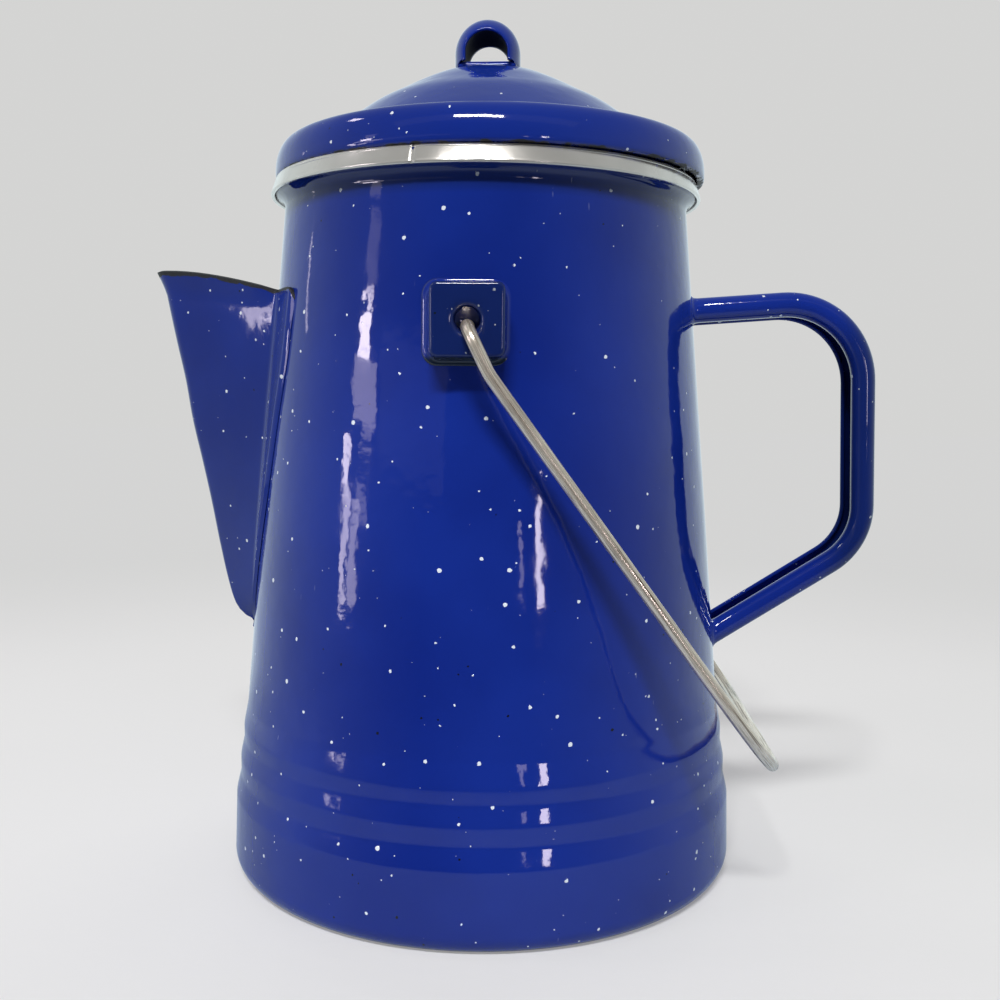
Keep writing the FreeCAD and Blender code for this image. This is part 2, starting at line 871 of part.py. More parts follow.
def arch_outline(sketch, inset, floor):
    """An arch in a sketch: a flat floor, two upright sides and a half circle over them."""
    radius = total("loop_half_width" + inset)
    spring = size("loop_arch_level")
    base = total(floor)
    centre = Vector(0, spring, 0)
    sketch.addGeometry(Part.ArcOfCircle(Part.Circle(centre, UP, radius), 0, math.pi), False)
    sketch.addGeometry(Part.LineSegment(Vector(-radius, spring, 0), Vector(-radius, base, 0)), False)
    sketch.addGeometry(Part.LineSegment(Vector(-radius, base, 0), Vector(radius, base, 0)), False)
    sketch.addGeometry(Part.LineSegment(Vector(radius, base, 0), Vector(radius, spring, 0)), False)
    for joined in ((0, 2, 1, 1), (1, 2, 2, 1), (2, 2, 3, 1), (3, 2, 0, 1)):
        sketch.addConstraint(Sketcher.Constraint("Coincident", *joined))
    sketch.addConstraint(Sketcher.Constraint("Horizontal", 2))
    sketch.addConstraint(Sketcher.Constraint("Vertical", 1))
    sketch.addConstraint(Sketcher.Constraint("Vertical", 3))
    sketch.addConstraint(Sketcher.Constraint("PointOnObject", 0, 3, -2))
    sketch.addConstraint(Sketcher.Constraint("Horizontal", 0, 3, 0, 1))
    driven = (
        (("Radius", 0, radius), "loop_half_width" + inset),
        (("DistanceY", -1, 1, 0, 3, spring), "loop_arch_level"),
        (("DistanceY", -1, 1, 1, 2, base), floor),
    )
    for terms, words in driven:
        index = sketch.addConstraint(Sketcher.Constraint(*terms))
        bind(sketch, "Constraints[%d]" % index, words)


def lid_loop():
    """The closed strap that the lid is lifted by."""
    body = new_body("lid_loop")
    outer = new_sketch(body, "loop_outside", "XZ_Plane")
    arch_outline(outer, "", "lid_pad_level")
    pad = body.newObject("PartDesign::Pad", "loop_strap")
    pad.Profile = outer
    bind(pad, "Length", "loop_length")
    pad.Midplane = True
    document.recompute()
    names = ["Edge%d" % (number + 1) for number in range(len(pad.Shape.Edges))]
    middles = {name: pad.Shape.getElement(name).CenterOfMass for name in names}
    on_a_side = size("loop_length") / 4
    off_the_lid = size("lid_pad_level") + size("loop_rounding") / 2
    rims = [name for name in names if abs(middles[name].y) > on_a_side and middles[name].z > off_the_lid]
    fillet = body.newObject("PartDesign::Fillet", "loop_rounding")
    fillet.Base = (pad, rims)
    bind(fillet, "Radius", "loop_rounding")
    document.recompute()
    inner = new_sketch(body, "loop_inside", "XZ_Plane")
    arch_outline(inner, " - loop_sheet", "lid_pad_level + loop_base")
    pocket = body.newObject("PartDesign::Pocket", "loop_opening")
    pocket.Profile = inner
    pocket.Type = "ThroughAll"
    pocket.Midplane = True
    before = body.Shape.Volume
    document.recompute()
    if body.Shape.Volume >= before:
        raise ValueError("the loop is not open")


lid_loop()

# ---------------------------------------------------------------- pump
pump_foot = turned_body("pump_foot", [
    ("pump_foot_radius", "pump_low"),
    ("pump_foot_radius", "pump_low + pump_rim_height"),
    ("pump_shoulder_radius", "pump_shoulder_level"),
    ("tube_radius + pump_sheet", "pump_shoulder_level + pump_neck"),
    ("tube_radius + pump_sheet", "pump_collar_top"),
    ("tube_radius", "pump_collar_top"),
    ("tube_radius", "pump_shoulder_level + pump_inner_neck"),
    ("pump_shoulder_radius - pump_sheet", "pump_shoulder_level - pump_sheet"),
    ("pump_foot_radius - pump_sheet", "pump_low + pump_rim_height - pump_sheet"),
    ("pump_foot_radius - pump_sheet", "pump_low"),
])


PUMP_SLOTS = 6


def pump_slots():
    """Water inlets round the rim of the foot."""
    before = pump_foot.Shape.Volume
    sketch = new_sketch(pump_foot, "slot_outline", "YZ_Plane")
    closed_outline(sketch, [
        ("0 - pump_slot_width", "0"),
        ("pump_slot_width", "0"),
        ("pump_slot_width", "pump_low + pump_slot_height"),
        ("0 - pump_slot_width", "pump_low + pump_slot_height"),
    ])
    slot = pump_foot.newObject("PartDesign::Pocket", "slot")
    slot.Profile = sketch
    slot.Type = "Length"
    slot.Length = 2 * size("pump_foot_radius")
    slot.Reversed = True
    document.recompute()
    ring = pump_foot.newObject("PartDesign::PolarPattern", "slot_ring")
    ring.Originals = [slot]
    ring.Axis = (sketch, ["V_Axis"])
    ring.Angle = 360
    ring.Occurrences = PUMP_SLOTS
    pump_foot.Tip = ring
    document.recompute()
    if pump_foot.Shape.Volume >= before:
        raise ValueError("the pump foot has no slots")


pump_slots()

turned_body("pump_tube", [
    ("tube_radius", "tube_low"),
    ("tube_radius", "tube_top"),
    ("tube_radius - tube_sheet", "tube_top"),
    ("tube_radius - tube_sheet", "tube_low"),
])

turned_body("basket_stop", [
    ("tube_radius", "stop_level"),
    ("stop_radius - stop_chamfer", "stop_level"),
    ("stop_radius", "stop_level + stop_chamfer"),
    ("stop_radius", "stop_level + stop_height - stop_chamfer"),
    ("stop_radius - stop_chamfer", "stop_level + stop_height"),
    ("tube_radius", "stop_level + stop_height"),
])

# ---------------------------------------------------------------- basket
# Radii of the rings of drain holes in the basket's floor and in its cover.
BASKET_RINGS = [13.0, 22.0, 31.0, 40.0]
COVER_RINGS = [12.0, 21.5, 31.0, 40.5]


def hole_count(ring_number):
    """Holes in a ring: 10 in the innermost one, and 8 more in each one outside it."""
    return 10 + 8 * ring_number


basket_cup = turned_body("basket_cup", [
    ("post_radius + post_sheet", "basket_low"),
    ("basket_foot_radius - basket_chamfer", "basket_low"),
    ("basket_foot_radius", "basket_low + basket_chamfer"),
    ("basket_radius", "basket_top - basket_sheet"),
    ("basket_rim_radius", "basket_top - basket_sheet"),
    ("basket_rim_radius", "basket_top"),
    ("basket_radius - basket_sheet", "basket_top"),
    ("basket_foot_radius - basket_sheet", "basket_low + basket_chamfer"),
    ("basket_foot_radius - basket_chamfer", "basket_low + basket_sheet"),
    ("post_radius + post_sheet", "basket_low + basket_sheet"),
])
for number, ring_radius in enumerate(BASKET_RINGS):
    name = "basket_holes_%d" % number
    ring_of_holes(basket_cup, name, ring_radius, "basket_hole_radius", hole_count(number))

turned_body("basket_post", [
    ("post_radius", "basket_low"),
    ("post_radius + post_sheet", "basket_low"),
    ("post_radius + post_sheet", "post_top"),
    ("post_radius", "post_top"),
])

basket_cover = turned_body("basket_cover", [
    ("collar_radius", "cover_well_level"),
    ("cover_well_radius - cover_sheet", "cover_well_level"),
    ("cover_well_radius", "cover_level"),
    ("cover_radius", "cover_level"),
    ("cover_radius", "cover_level + cover_sheet"),
    ("cover_well_radius - cover_sheet", "cover_level + cover_sheet"),
    ("cover_well_radius - cover_sheet - cover_sheet", "cover_well_level + cover_sheet"),
    ("collar_radius + cover_sheet", "cover_well_level + cover_sheet"),
    ("collar_radius + cover_sheet", "collar_top"),
    ("collar_radius", "collar_top"),
])
for number, ring_radius in enumerate(COVER_RINGS):
    name = "cover_holes_%d" % number
    ring_of_holes(basket_cover, name, ring_radius, "cover_hole_radius", hole_count(number))

# ---------------------------------------------------------------- checks and export
document.recompute()
for item in document.Objects:
    if "Invalid" in item.State or "Error" in item.State:
        raise ValueError("%s failed: %s" % (item.Label, item.State))
for piece in pieces:
    if piece.Shape.isNull() or not piece.Shape.isValid() or not piece.Shape.Solids:
        raise ValueError(piece.Label + " has no valid solid")
for piece in pieces:
    piece.Shape.exportStep("parts/%s.step" % piece.Label)
    box = piece.Shape.BoundBox
    print("%-16s %9.0f mm3  x %7.1f %7.1f  y %6.1f %6.1f  z %6.1f %6.1f" % (
        piece.Label, piece.Shape.Volume, box.XMin, box.XMax, box.YMin, box.YMax, box.ZMin, box.ZMax))
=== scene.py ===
"""Looks of an enamelled steel camp percolator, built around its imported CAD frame.

The helpers work in millimetres, in the frame of the part: origin on the pot's axis at the plane it stands on,
+Z up, spout towards -X, side handle towards +X. Meshes are made in metres.
"""
import json
import math

import bmesh
import bpy
from mathutils import Euler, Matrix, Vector, noise


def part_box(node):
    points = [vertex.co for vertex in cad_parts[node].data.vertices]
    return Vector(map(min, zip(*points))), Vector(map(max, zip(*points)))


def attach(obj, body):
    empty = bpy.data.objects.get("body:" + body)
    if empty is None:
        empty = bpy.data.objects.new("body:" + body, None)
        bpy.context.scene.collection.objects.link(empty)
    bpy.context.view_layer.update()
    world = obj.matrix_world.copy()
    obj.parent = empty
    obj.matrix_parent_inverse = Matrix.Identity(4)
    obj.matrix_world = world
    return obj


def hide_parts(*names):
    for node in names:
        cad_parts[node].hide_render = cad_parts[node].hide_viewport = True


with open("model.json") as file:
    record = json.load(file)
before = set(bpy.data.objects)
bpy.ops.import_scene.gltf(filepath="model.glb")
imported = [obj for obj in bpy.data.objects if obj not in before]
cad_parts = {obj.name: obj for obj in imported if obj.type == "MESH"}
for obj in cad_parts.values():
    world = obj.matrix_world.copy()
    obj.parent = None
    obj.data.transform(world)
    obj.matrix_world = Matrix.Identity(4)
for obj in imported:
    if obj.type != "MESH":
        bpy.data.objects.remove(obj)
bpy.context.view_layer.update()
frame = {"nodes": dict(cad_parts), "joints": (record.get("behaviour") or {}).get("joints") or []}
NODES = frame["nodes"]
MM = 0.001


def node_box(name):
    """Lowest and highest corners of a CAD node, in millimetres."""
    low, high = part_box(name)
    return low / MM, high / MM


# ------------ sizes taken from the frame, in millimetres
SHELL_HIGH = node_box("pot_shell")[1]
BAND_LOW, BAND_HIGH = node_box("rim_band")
LID_LOW = node_box("lid_shell")[0]
LOOP_LOW, LOOP_HIGH = node_box("lid_loop")
LUG_LOW, LUG_HIGH = node_box("bail_lug_rear")
SPOUT_HIGH = node_box("spout")[1]
HANDLE_HIGH = node_box("handle")[1]
PIVOT = Vector(next(j["pos_m"] for j in frame["joints"] if j["name"] == "bail_swing")) / MM
WALL = 1.1
BAND_SHEET = 1.25

# How far the blue is darkened: painted shade towards the top of the cone, under the band and on the handle's
# outer side, and a darker tone on the spout, the lid and the lugs' faces.
SHADE_AND_TONE = {"cone": 0.10, "neck": 0.5, "spout": 0.16, "handle": 0.52, "lug": 0.6, "lid": 0.12}

# ------------ mesh helpers
def show(thing):
    """Puts an object into the scene."""
    bpy.context.scene.collection.objects.link(thing)


def make_piece(name, vertices, faces, body, material, replaced):
    """A smooth mesh piece that rides on a body and stands for CAD nodes. Vertices are in millimetres."""
    mesh = bpy.data.meshes.new(name)
    mesh.from_pydata([tuple(c * MM for c in v) for v in vertices], [], faces)
    mesh.validate()
    piece = bpy.data.objects.new(name, mesh)
    show(piece)
    edit = bmesh.new()
    edit.from_mesh(mesh)
    bmesh.ops.recalc_face_normals(edit, faces=edit.faces)
    for face in edit.faces:
        face.smooth = True
    edit.to_mesh(mesh)
    edit.free()
    mesh.materials.append(material)
    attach(piece, body)
    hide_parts(*replaced)
    return piece


def point_values(piece, name, values):
    """A number on each vertex, which the materials read by name."""
    attribute = piece.data.attributes.new(name, "FLOAT", "POINT")
    attribute.data.foreach_set("value", values)


def grid_faces(rows, columns, wrap_rows=False, wrap_columns=False):
    """Four-sided faces between the points of a grid, row by row."""
    faces = []
    for i in range(rows if wrap_rows else rows - 1):
        for j in range(columns if wrap_columns else columns - 1):
            a, b = i * columns + j, i * columns + (j + 1) % columns
            c, d = (i + 1) % rows * columns + (j + 1) % columns, (i + 1) % rows * columns + j
            faces.append((a, b, c, d))
    return faces


def turn_angles(count):
    """Angles of even steps round a full turn."""
    return [2 * math.pi * k / count for k in range(count)]


def tube_faces(rows, columns):
    """Faces of a tube with rows of points round it: its side, and then a flat end at each end."""
    ends = [tuple(range(columns))[::-1], tuple(range((rows - 1) * columns, rows * columns))]
    return grid_faces(rows, columns, wrap_columns=True) + ends


def at_radius(spot, radius):
    """A point moved level to a distance from the axis."""
    scale = radius / math.hypot(spot.x, spot.y)
    return Vector((spot.x * scale, spot.y * scale, spot.z))


def last_inside(inside, high, halvings):
    """The largest number from 0 to high that is inside."""
    low = 0.0
    for _ in range(halvings):
        middle = (low + high) / 2
        low, high = (middle, high) if inside(middle) else (low, middle)
    return low


def lathe(profile, count, move=None):
    """Turns a closed run of (radius, level) points about the axis. A point on the axis becomes a pole."""
    vertices, rings = [], []
    for radius, level in profile:
        if radius < 1e-6:
            rings.append([len(vertices)] * count)
            vertices.append(Vector((0, 0, level)))
            continue
        rings.append(list(range(len(vertices), len(vertices) + count)))
        for angle in turn_angles(count):
            r = radius + (move(angle, radius, level) if move else 0)
            vertices.append(Vector((r * math.cos(angle), r * math.sin(angle), level)))
    faces = []
    for i in range(len(profile)):
        low, high = rings[i], rings[(i + 1) % len(profile)]
        for k in range(count):
            n = (k + 1) % count
            corners = list(dict.fromkeys((low[k], low[n], high[n], high[k])))
            if len(corners) > 2:
                faces.append(tuple(corners))
    return vertices, faces


def arc_points(centre, radii, first, last, steps):
    """Points on an arc or an ellipse in a plane, from one angle to another in degrees."""
    found = []
    for i in range(steps + 1):
        a = math.radians(first + (last - first) * i / steps)
        found.append((centre[0] + radii[0] * math.cos(a), centre[1] + radii[1] * math.sin(a)))
    return found


def rounded_outline(points, radii, steps=5, closed=True):
    """Rounds the corners of a flat outline; a radius of 0 leaves its corner sharp."""
    found = []
    count = len(points)
    for i, (point, radius) in enumerate(zip(points, radii)):
        if radius == 0 or (not closed and i in (0, count - 1)):
            found.append(tuple(point))
            continue
        here = Vector(point)
        arriving = here - Vector(points[i - 1])
        leaving = Vector(points[(i + 1) % count]) - here
        room = 0.499 * min(arriving.length, leaving.length)
        arriving.normalize()
        leaving.normalize()
        turn = arriving.angle(leaving, 0)
        reach = min(radius * math.tan(turn / 2), room)
        start, end = here - arriving * reach, here + leaving * reach
        for k in range(steps + 1):
            t = k / steps
            found.append(tuple(start.lerp(here, t).lerp(here.lerp(end, t), t)))
    return found


def spaced(points, gap):
    """Adds points along the long runs of an outline, so that no run is longer than gap."""
    found = []
    for first, second in zip(points, points[1:]):
        a, b = Vector(first), Vector(second)
        parts = max(1, math.ceil((b - a).length / gap))
        found += [tuple(a.lerp(b, k / parts)) for k in range(parts)]
    return found + [points[-1]]


def run_on(route, end, gap):
    """Carries a route straight on to a new end."""
    runs = max(1, math.ceil((end - route[-1]).length / gap))
    route += [route[-1].lerp(end, k / runs) for k in range(1, runs + 1)]


def rounded_route(points, radii, gap):
    """A 3-D route: straight runs joined by arcs, sampled about every gap."""
    route = [Vector(points[0])]
    for before, corner, after, radius in zip(points, points[1:], points[2:], radii):
        arriving = (Vector(corner) - Vector(before)).normalized()
        leaving = (Vector(after) - Vector(corner)).normalized()
        turn = arriving.angle(leaving)
        reach = radius * math.tan(turn / 2)
        start = Vector(corner) - arriving * reach
        inward = (leaving - arriving).normalized()
        centre = Vector(corner) + inward * (radius / math.cos(turn / 2))
        run_on(route, start, gap)
        steps = max(3, math.ceil(turn * radius / gap), math.ceil(turn / 0.12))
        spoke, side = start - centre, arriving * radius
        for k in range(1, steps + 1):
            a = turn * k / steps
            route.append(centre + spoke * math.cos(a) + side * math.sin(a))
    run_on(route, Vector(points[-1]), gap)
    return route


def route_tangents(route):
    """Direction of a route at each of its points."""
    count = len(route)
    return [(route[min(i + 1, count - 1)] - route[max(i - 1, 0)]).normalized() for i in range(count)]


def apply_modifiers(piece):
    """Replaces a piece's mesh with the one that its modifiers make."""
    bpy.context.view_layer.update()
    finished = bpy.data.meshes.new_from_object(piece.evaluated_get(bpy.context.evaluated_depsgraph_get()))
    piece.modifiers.clear()
    piece.data = finished


def soften_edges(piece, width, degrees):
    """Rounds the sharp edges of a finished mesh."""
    bevel = piece.modifiers.new("soft_edges", "BEVEL")
    bevel.width = width * MM
    bevel.segments = 3
    bevel.limit_method = "ANGLE"
    bevel.angle_limit = math.radians(degrees)
    bevel.harden_normals = False
    apply_modifiers(piece)


def smoothstep(low, high, value):
    """0 at low, 1 at high, and an even curve between; low may be the larger."""
    t = min(1, max(0, (value - low) / (high - low)))
    return t * t * (3 - 2 * t)


# ------------ material helpers
class Shader:
    """A short way to write the nodes of a material or of the world."""

    def __init__(self, owner):
        self.owner = owner
        owner.use_nodes = True
        self.tree = owner.node_tree
        self.tree.nodes.clear()

    def node(self, kind, inputs=None, **settings):
        """A shader node; an input is another node's socket, which is linked, or a value."""
        made = self.tree.nodes.new("ShaderNode" + kind)
        for key, value in settings.items():
            setattr(made, key, value)
        for key, value in (inputs or {}).items():
            if isinstance(value, bpy.types.NodeSocket):
                self.tree.links.new(value, made.inputs[key])
            else:
                made.inputs[key].default_value = value
        return made

    def math(self, operation, first, second=0.0):
        return self.node("Math", {0: first, 1: second}, operation=operation).outputs[0]

    def times(self, first, second):
        return self.math("MULTIPLY", first, second)

    def ramp(self, value, low, high, bottom=0.0, top=1.0, smooth=True):
        """A value carried from one range to another, and held at its ends."""
        ends = {"Value": value, "From Min": low, "From Max": high, "To Min": bottom, "To Max": top}
        kind = "SMOOTHSTEP" if smooth else "LINEAR"
        return self.node("MapRange", ends, interpolation_type=kind).outputs[0]

    def mix(self, factor, first, second):
        return self.node("Mix", {0: factor, 6: first, 7: second}, data_type="RGBA").outputs[2]

    def blend(self, factor, first, second):
        """A mix of two numbers, as mix is of two colours."""
        return self.node("Mix", {0: factor, 2: first, 3: second}, data_type="FLOAT").outputs[0]

    def noise(self, vector, scale, detail=2.0, roughness=0.5):
        inputs = {"Vector": vector, "Scale": scale, "Detail": detail, "Roughness": roughness}
        return self.node("TexNoise", inputs).outputs[0]

    def stretched(self, vector, scale, turn=(0, 0, 0)):
        return self.node("Mapping", {"Vector": vector, "Scale": scale, "Rotation": turn}).outputs[0]

    def attribute(self, name):
        return self.node("Attribute", attribute_name=name).outputs["Fac"]

    def place_on_part(self):
        return self.node("TexCoord").outputs["Object"]

    def total(self, value, parts):
        """A value with a share of each part added to it."""
        for part, share in parts:
            value = self.math("ADD", value, self.times(part, share))
        return value

    def bump(self, height, strength=1.0, distance=1.0):
        return self.node("Bump", {"Height": height, "Strength": strength, "Distance": distance}).outputs[0]

    def finish(self, **inputs):
        """Ends a material in a Principled shader; an underscore in an input's name stands for a space."""
        shader = self.node("BsdfPrincipled", {k.replace("_", " "): v for k, v in inputs.items()})
        self.node("OutputMaterial", {"Surface": shader.outputs[0]})
        return self.owner


def specks(s, vector, per_metre, smallest, largest):
    """Round specks of enamel: 1 inside a speck and 0 outside. Sizes are radii in metres."""
    cells = s.node("TexVoronoi", {"Vector": vector, "Scale": per_metre}, voronoi_dimensions="3D")
    cell_size = s.ramp(cells.outputs["Color"], 0, 1, smallest * per_metre, largest * per_metre, smooth=False)
    inside = s.math("SUBTRACT", cell_size, cells.outputs["Distance"])
    return s.ramp(inside, 0.0, 0.00012 * per_metre)


def enamel(name, deep, light):
    """Glossy vitreous enamel with white and black specks, slight waves, dark bare edges, and painted shade
    that the pieces set on their points.
    """
    s = Shader(bpy.data.materials.new(name))
    where = s.place_on_part()
    cloud = s.noise(where, 14.0, 3.0)
    wave = s.noise(where, 75.0, 2.0)
    ripple = s.noise(where, 240.0, 2.0)
    peel = s.noise(where, 900.0, 1.0)
    colour = s.mix(s.ramp(cloud, 0.35, 0.65), deep, light)

    # White specks in two sizes, black specks, and patches of fine scratches.
    ragged = s.times(s.math("SUBTRACT", s.noise(where, 1500.0, 1.0), 0.5), 0.0005)
    shifted = s.node("VectorMath", {0: where, 1: ragged}, operation="ADD").outputs[0]
    large = specks(s, shifted, 158.0, 0.00025, 0.0008)
    small = specks(s, shifted, 215.0, 0.00005, 0.0004)
    white = s.math("MAXIMUM", large, small)
    far = s.node("VectorMath", {0: shifted, 1: (0.313, 0.171, 0.097)}, operation="ADD").outputs[0]
    black = specks(s, far, 118.0, 0.0001, 0.0006)
    lines = s.stretched(where, (330.0, 330.0, 60.0), (0.5, 0.6, 0.3))
    scratch = s.node("TexVoronoi", {"Vector": lines, "Scale": 1.0}, voronoi_dimensions="3D")
    patchy = s.ramp(s.noise(where, 30.0, 2.0), 0.60, 0.68)
    scratched = s.times(s.ramp(scratch.outputs["Distance"], 0.09, 0.05), patchy)

    colour = s.mix(black, colour, (0.006, 0.007, 0.012, 1))
    colour = s.mix(s.times(scratched, 0.25), colour, (0.45, 0.50, 0.68, 1))
    colour = s.mix(white, colour, (0.80, 0.85, 0.93, 1))
    # Painted shade and a darker tone: the blue goes darker by the value that each piece sets on its points.
    colour = s.mix(s.attribute("painted_shade_and_tone"), colour, (0.005, 0.012, 0.022, 1))
    # Near black on bare edges, and painted shade, also near black, inside the lid's loop.
    bare_and_shaded = s.attribute("bare_edge_and_painted_shade")
    edge = s.math("ADD", bare_and_shaded, s.times(s.math("SUBTRACT", ripple, 0.5), 0.9))
    bare_and_shaded_mask = s.times(s.ramp(edge, 0.40, 0.55), s.ramp(bare_and_shaded, 0.02, 0.1))
    colour = s.mix(bare_and_shaded_mask, colour, (0.008, 0.008, 0.010, 1))

    roughness = s.ramp(s.noise(where, 45.0, 3.0), 0.3, 0.7, 0.035, 0.085)
    roughness = s.total(roughness, ((scratched, 0.25), (bare_and_shaded_mask, 0.45)))
    height = s.times(wave, 0.00020)
    height = s.total(height, ((ripple, 0.00003), (peel, 0.000004), (white, 0.00005)))
    normal = s.bump(height)
    return s.finish(Base_Color=colour, Roughness=roughness, IOR=1.52, Specular_IOR_Level=0.5, Normal=normal)


def stainless(name, tint, drawn):
    """Bright stainless steel; drawn adds fine lines along a wire."""
    s = Shader(bpy.data.materials.new(name))
    where = s.place_on_part()
    smudge = s.noise(where, 60.0, 3.0)
    along = s.node("CombineXYZ", {0: s.attribute("along"), 1: s.attribute("around")}).outputs[0]
    lines = s.noise(s.stretched(along, (0.35, 26.0, 1.0)), 1.0, 4.0, 0.6)
    colour = s.mix(s.ramp(smudge, 0.3, 0.7), tint, [c * 0.86 for c in tint[:3]] + [1])
    roughness = s.ramp(smudge, 0.3, 0.7, 0.10, 0.20)
    height = s.times(s.noise(where, 160.0, 2.0), 0.00006)
    if drawn:
        colour = s.mix(s.ramp(lines, 0.52, 0.62), colour, (0.20, 0.15, 0.11, 1))
        roughness = s.ramp(lines, 0.35, 0.65, 0.20, 0.38)
        height = s.times(lines, 0.00004)
    return s.finish(Base_Color=colour, Metallic=0.72, Roughness=roughness, Normal=s.bump(height))


def spun_aluminium(name, tint):
    """Satin aluminium with faint turning rings and stains."""
    s = Shader(bpy.data.materials.new(name))
    where = s.place_on_part()
    x, y, z = s.node("SeparateXYZ", {0: where}).outputs
    distance = s.math("SQRT", s.math("ADD", s.times(x, x), s.times(y, y)))
    rings = s.node("CombineXYZ", {0: distance, 1: z}).outputs[0]
    turning = s.noise(rings, 1400.0, 3.0, 0.7)
    stain = s.noise(where, 40.0, 4.0, 0.6)
    colour = s.mix(s.ramp(stain, 0.45, 0.70), tint, (0.52, 0.47, 0.40, 1))
    roughness = s.ramp(turning, 0.3, 0.7, 0.26, 0.42)
    height = s.times(turning, 0.00002)
    return s.finish(Base_Color=colour, Metallic=1.0, Roughness=roughness, Normal=s.bump(height))


ENAMEL = enamel("blue_enamel", (0.0045, 0.0185, 0.210, 1), (0.0070, 0.0265, 0.265, 1))
BAND_STEEL = stainless("band_steel", (0.84, 0.80, 0.74, 1), False)
WIRE_STEEL = stainless("wire_steel", (0.90, 0.79, 0.66, 1), True)
ALUMINIUM = spun_aluminium("spun_aluminium", (0.76, 0.76, 0.77, 1))


# ------------ pot wall
CONE_FOOT = 89.39
CONE_SLOPE = 0.111
FOOT_TOP = 6.5
STEP_SLOPES = (0.216, 0.240, 0.262)
LAND_SLOPE = 0.022
# Levels where the wall changes slope, from the cone down.
# Each bead is a step out and then a near-upright land.
BEAD_LEVELS = (58.8, 51.0, 45.9, 39.9, 33.8, 27.0)
NECK = 219.5
FLARE_RADIUS = 3.5
FLARE_RISE = 3.4
MOUTH_STEP = 0.8


def cone_radius(level):
    """Outer radius of the straight cone, which the wall follows above the beads."""
    return CONE_FOOT - CONE_SLOPE * level


def beads_profile():
    """(level, radius) where the slope changes, from the cone down to the foot's corner."""
    radius = cone_radius(BEAD_LEVELS[0])
    found = [(BEAD_LEVELS[0], radius)]
    for k, (high, low) in enumerate(zip(BEAD_LEVELS, BEAD_LEVELS[1:])):
        slope = STEP_SLOPES[k // 2] if k % 2 == 0 else LAND_SLOPE
        radius += slope * (high - low)
        found.append((low, radius))
    return found


BEADS = beads_profile()
FOOT_RADIUS = SHELL_HIGH.x
BEAD_SOFTNESS = 0.55


def sharp_wall(level):
    """Outer radius of the wall, with its changes of slope left sharp."""
    if level >= BEADS[0][0]:
        return cone_radius(level)
    for (high, outer_high), (low, outer_low) in zip(BEADS, BEADS[1:] + [(FOOT_TOP, FOOT_RADIUS - 0.03)]):
        if level >= low:
            return outer_low + (outer_high - outer_low) * (level - low) / (high - low)
    return FOOT_RADIUS - 0.03


def wall_radius(level):
    """Outer radius of the wall, with each change of slope rolled smooth."""
    weights = (0.06, 0.24, 0.40, 0.24, 0.06)
    return sum(w * sharp_wall(level + (k - 2) * BEAD_SOFTNESS) for k, w in enumerate(weights))


def pot_profile():
    """Closed section of the wall: foot corner, outside, flare, mouth, inside and lip."""
    corner = FOOT_TOP
    centre = (wall_radius(corner) - corner, corner)
    outside = arc_points(centre, (corner, corner), -90, 0, 12)
    # Close rings over the beads, and wider ones up the straight cone.
    level = corner
    while level < NECK - 0.5:
        level += 0.5 if level < 62 else 3.5
        level = min(level, NECK)
        outside.append((wall_radius(level), level))
    tilt = math.degrees(math.atan(CONE_SLOPE))
    turn = math.degrees(math.asin(FLARE_RISE / FLARE_RADIUS))
    aim = math.radians(tilt)
    middle = (cone_radius(NECK) + FLARE_RADIUS * math.cos(aim), NECK + FLARE_RADIUS * math.sin(aim))
    flare = arc_points(middle, (FLARE_RADIUS, FLARE_RADIUS), 180 + tilt, 180 + tilt - turn, 10)
    inner_flare = arc_points(middle, (FLARE_RADIUS + WALL,) * 2, 180 + tilt, 180 + tilt - turn, 10)
    mouth = BAND_HIGH.x - BAND_SHEET
    top = SHELL_HIGH.z
    outside += flare[1:]
    outside += [(mouth, flare[-1][1] + MOUTH_STEP), (mouth, top - 0.4), (mouth - 0.4, top)]
    inside = [(mouth - WALL + 0.4, top), (mouth - WALL, top - 0.4), (mouth - WALL, flare[-1][1] + 1.6)]
    inside += inner_flare[::-1]
    level = NECK
    while level > corner + 1:
        level -= 1.6 if level < 66 else 6.0
        inside.append((wall_radius(max(level, corner)) - WALL, max(level, corner)))
    inside += arc_points(centre, (corner - WALL,) * 2, 0, -90, 6)[1:]
    lip = node_box("bottom_plate")[1].x
    inside += [(lip + 0.2, WALL), (lip + 0.05, WALL - 0.15), (lip + 0.05, 0.15), (lip + 0.2, 0)]
    return outside + inside


def dent(angle, radius, level):
    """Slight unevenness of hand-dipped sheet work."""
    if level < 2 or radius < 20:
        return 0
    spot = Vector((2.2 * math.cos(angle), 2.2 * math.sin(angle), level * 0.022))
    return 0.10 * noise.noise(spot) * smoothstep(2, 12, level)


def make_pot():
    """The pot's wall, with its beads, foot, flared mouth and strainer holes."""
    vertices, faces = lathe(pot_profile(), 288, dent)
    pot = make_piece("pot_wall", vertices, faces, "pot", ENAMEL, ["pot_shell"])
    point_values(pot, "bare_edge_and_painted_shade", [0.9 * (1 - smoothstep(0.35, 1.0, v.z)) for v in vertices])
    # Painted shade: the blue darkens slowly towards the top of the cone, below the brim, and to a dark ring
    # just under the band.
    point_values(pot, "painted_shade_and_tone", [
        SHADE_AND_TONE["cone"] * smoothstep(150.0, NECK, v.z) + SHADE_AND_TONE["neck"] * smoothstep(NECK - 3.0, NECK + 0.5, v.z)
        for v in vertices
    ])
    drill_strainer(pot)


STRAINER_PITCH = 11.0
STRAINER_LOW = 112.0
STRAINER_ROWS = 7
STRAINER_HOLE = 2.4
STRAINER_MARGIN = 8.0


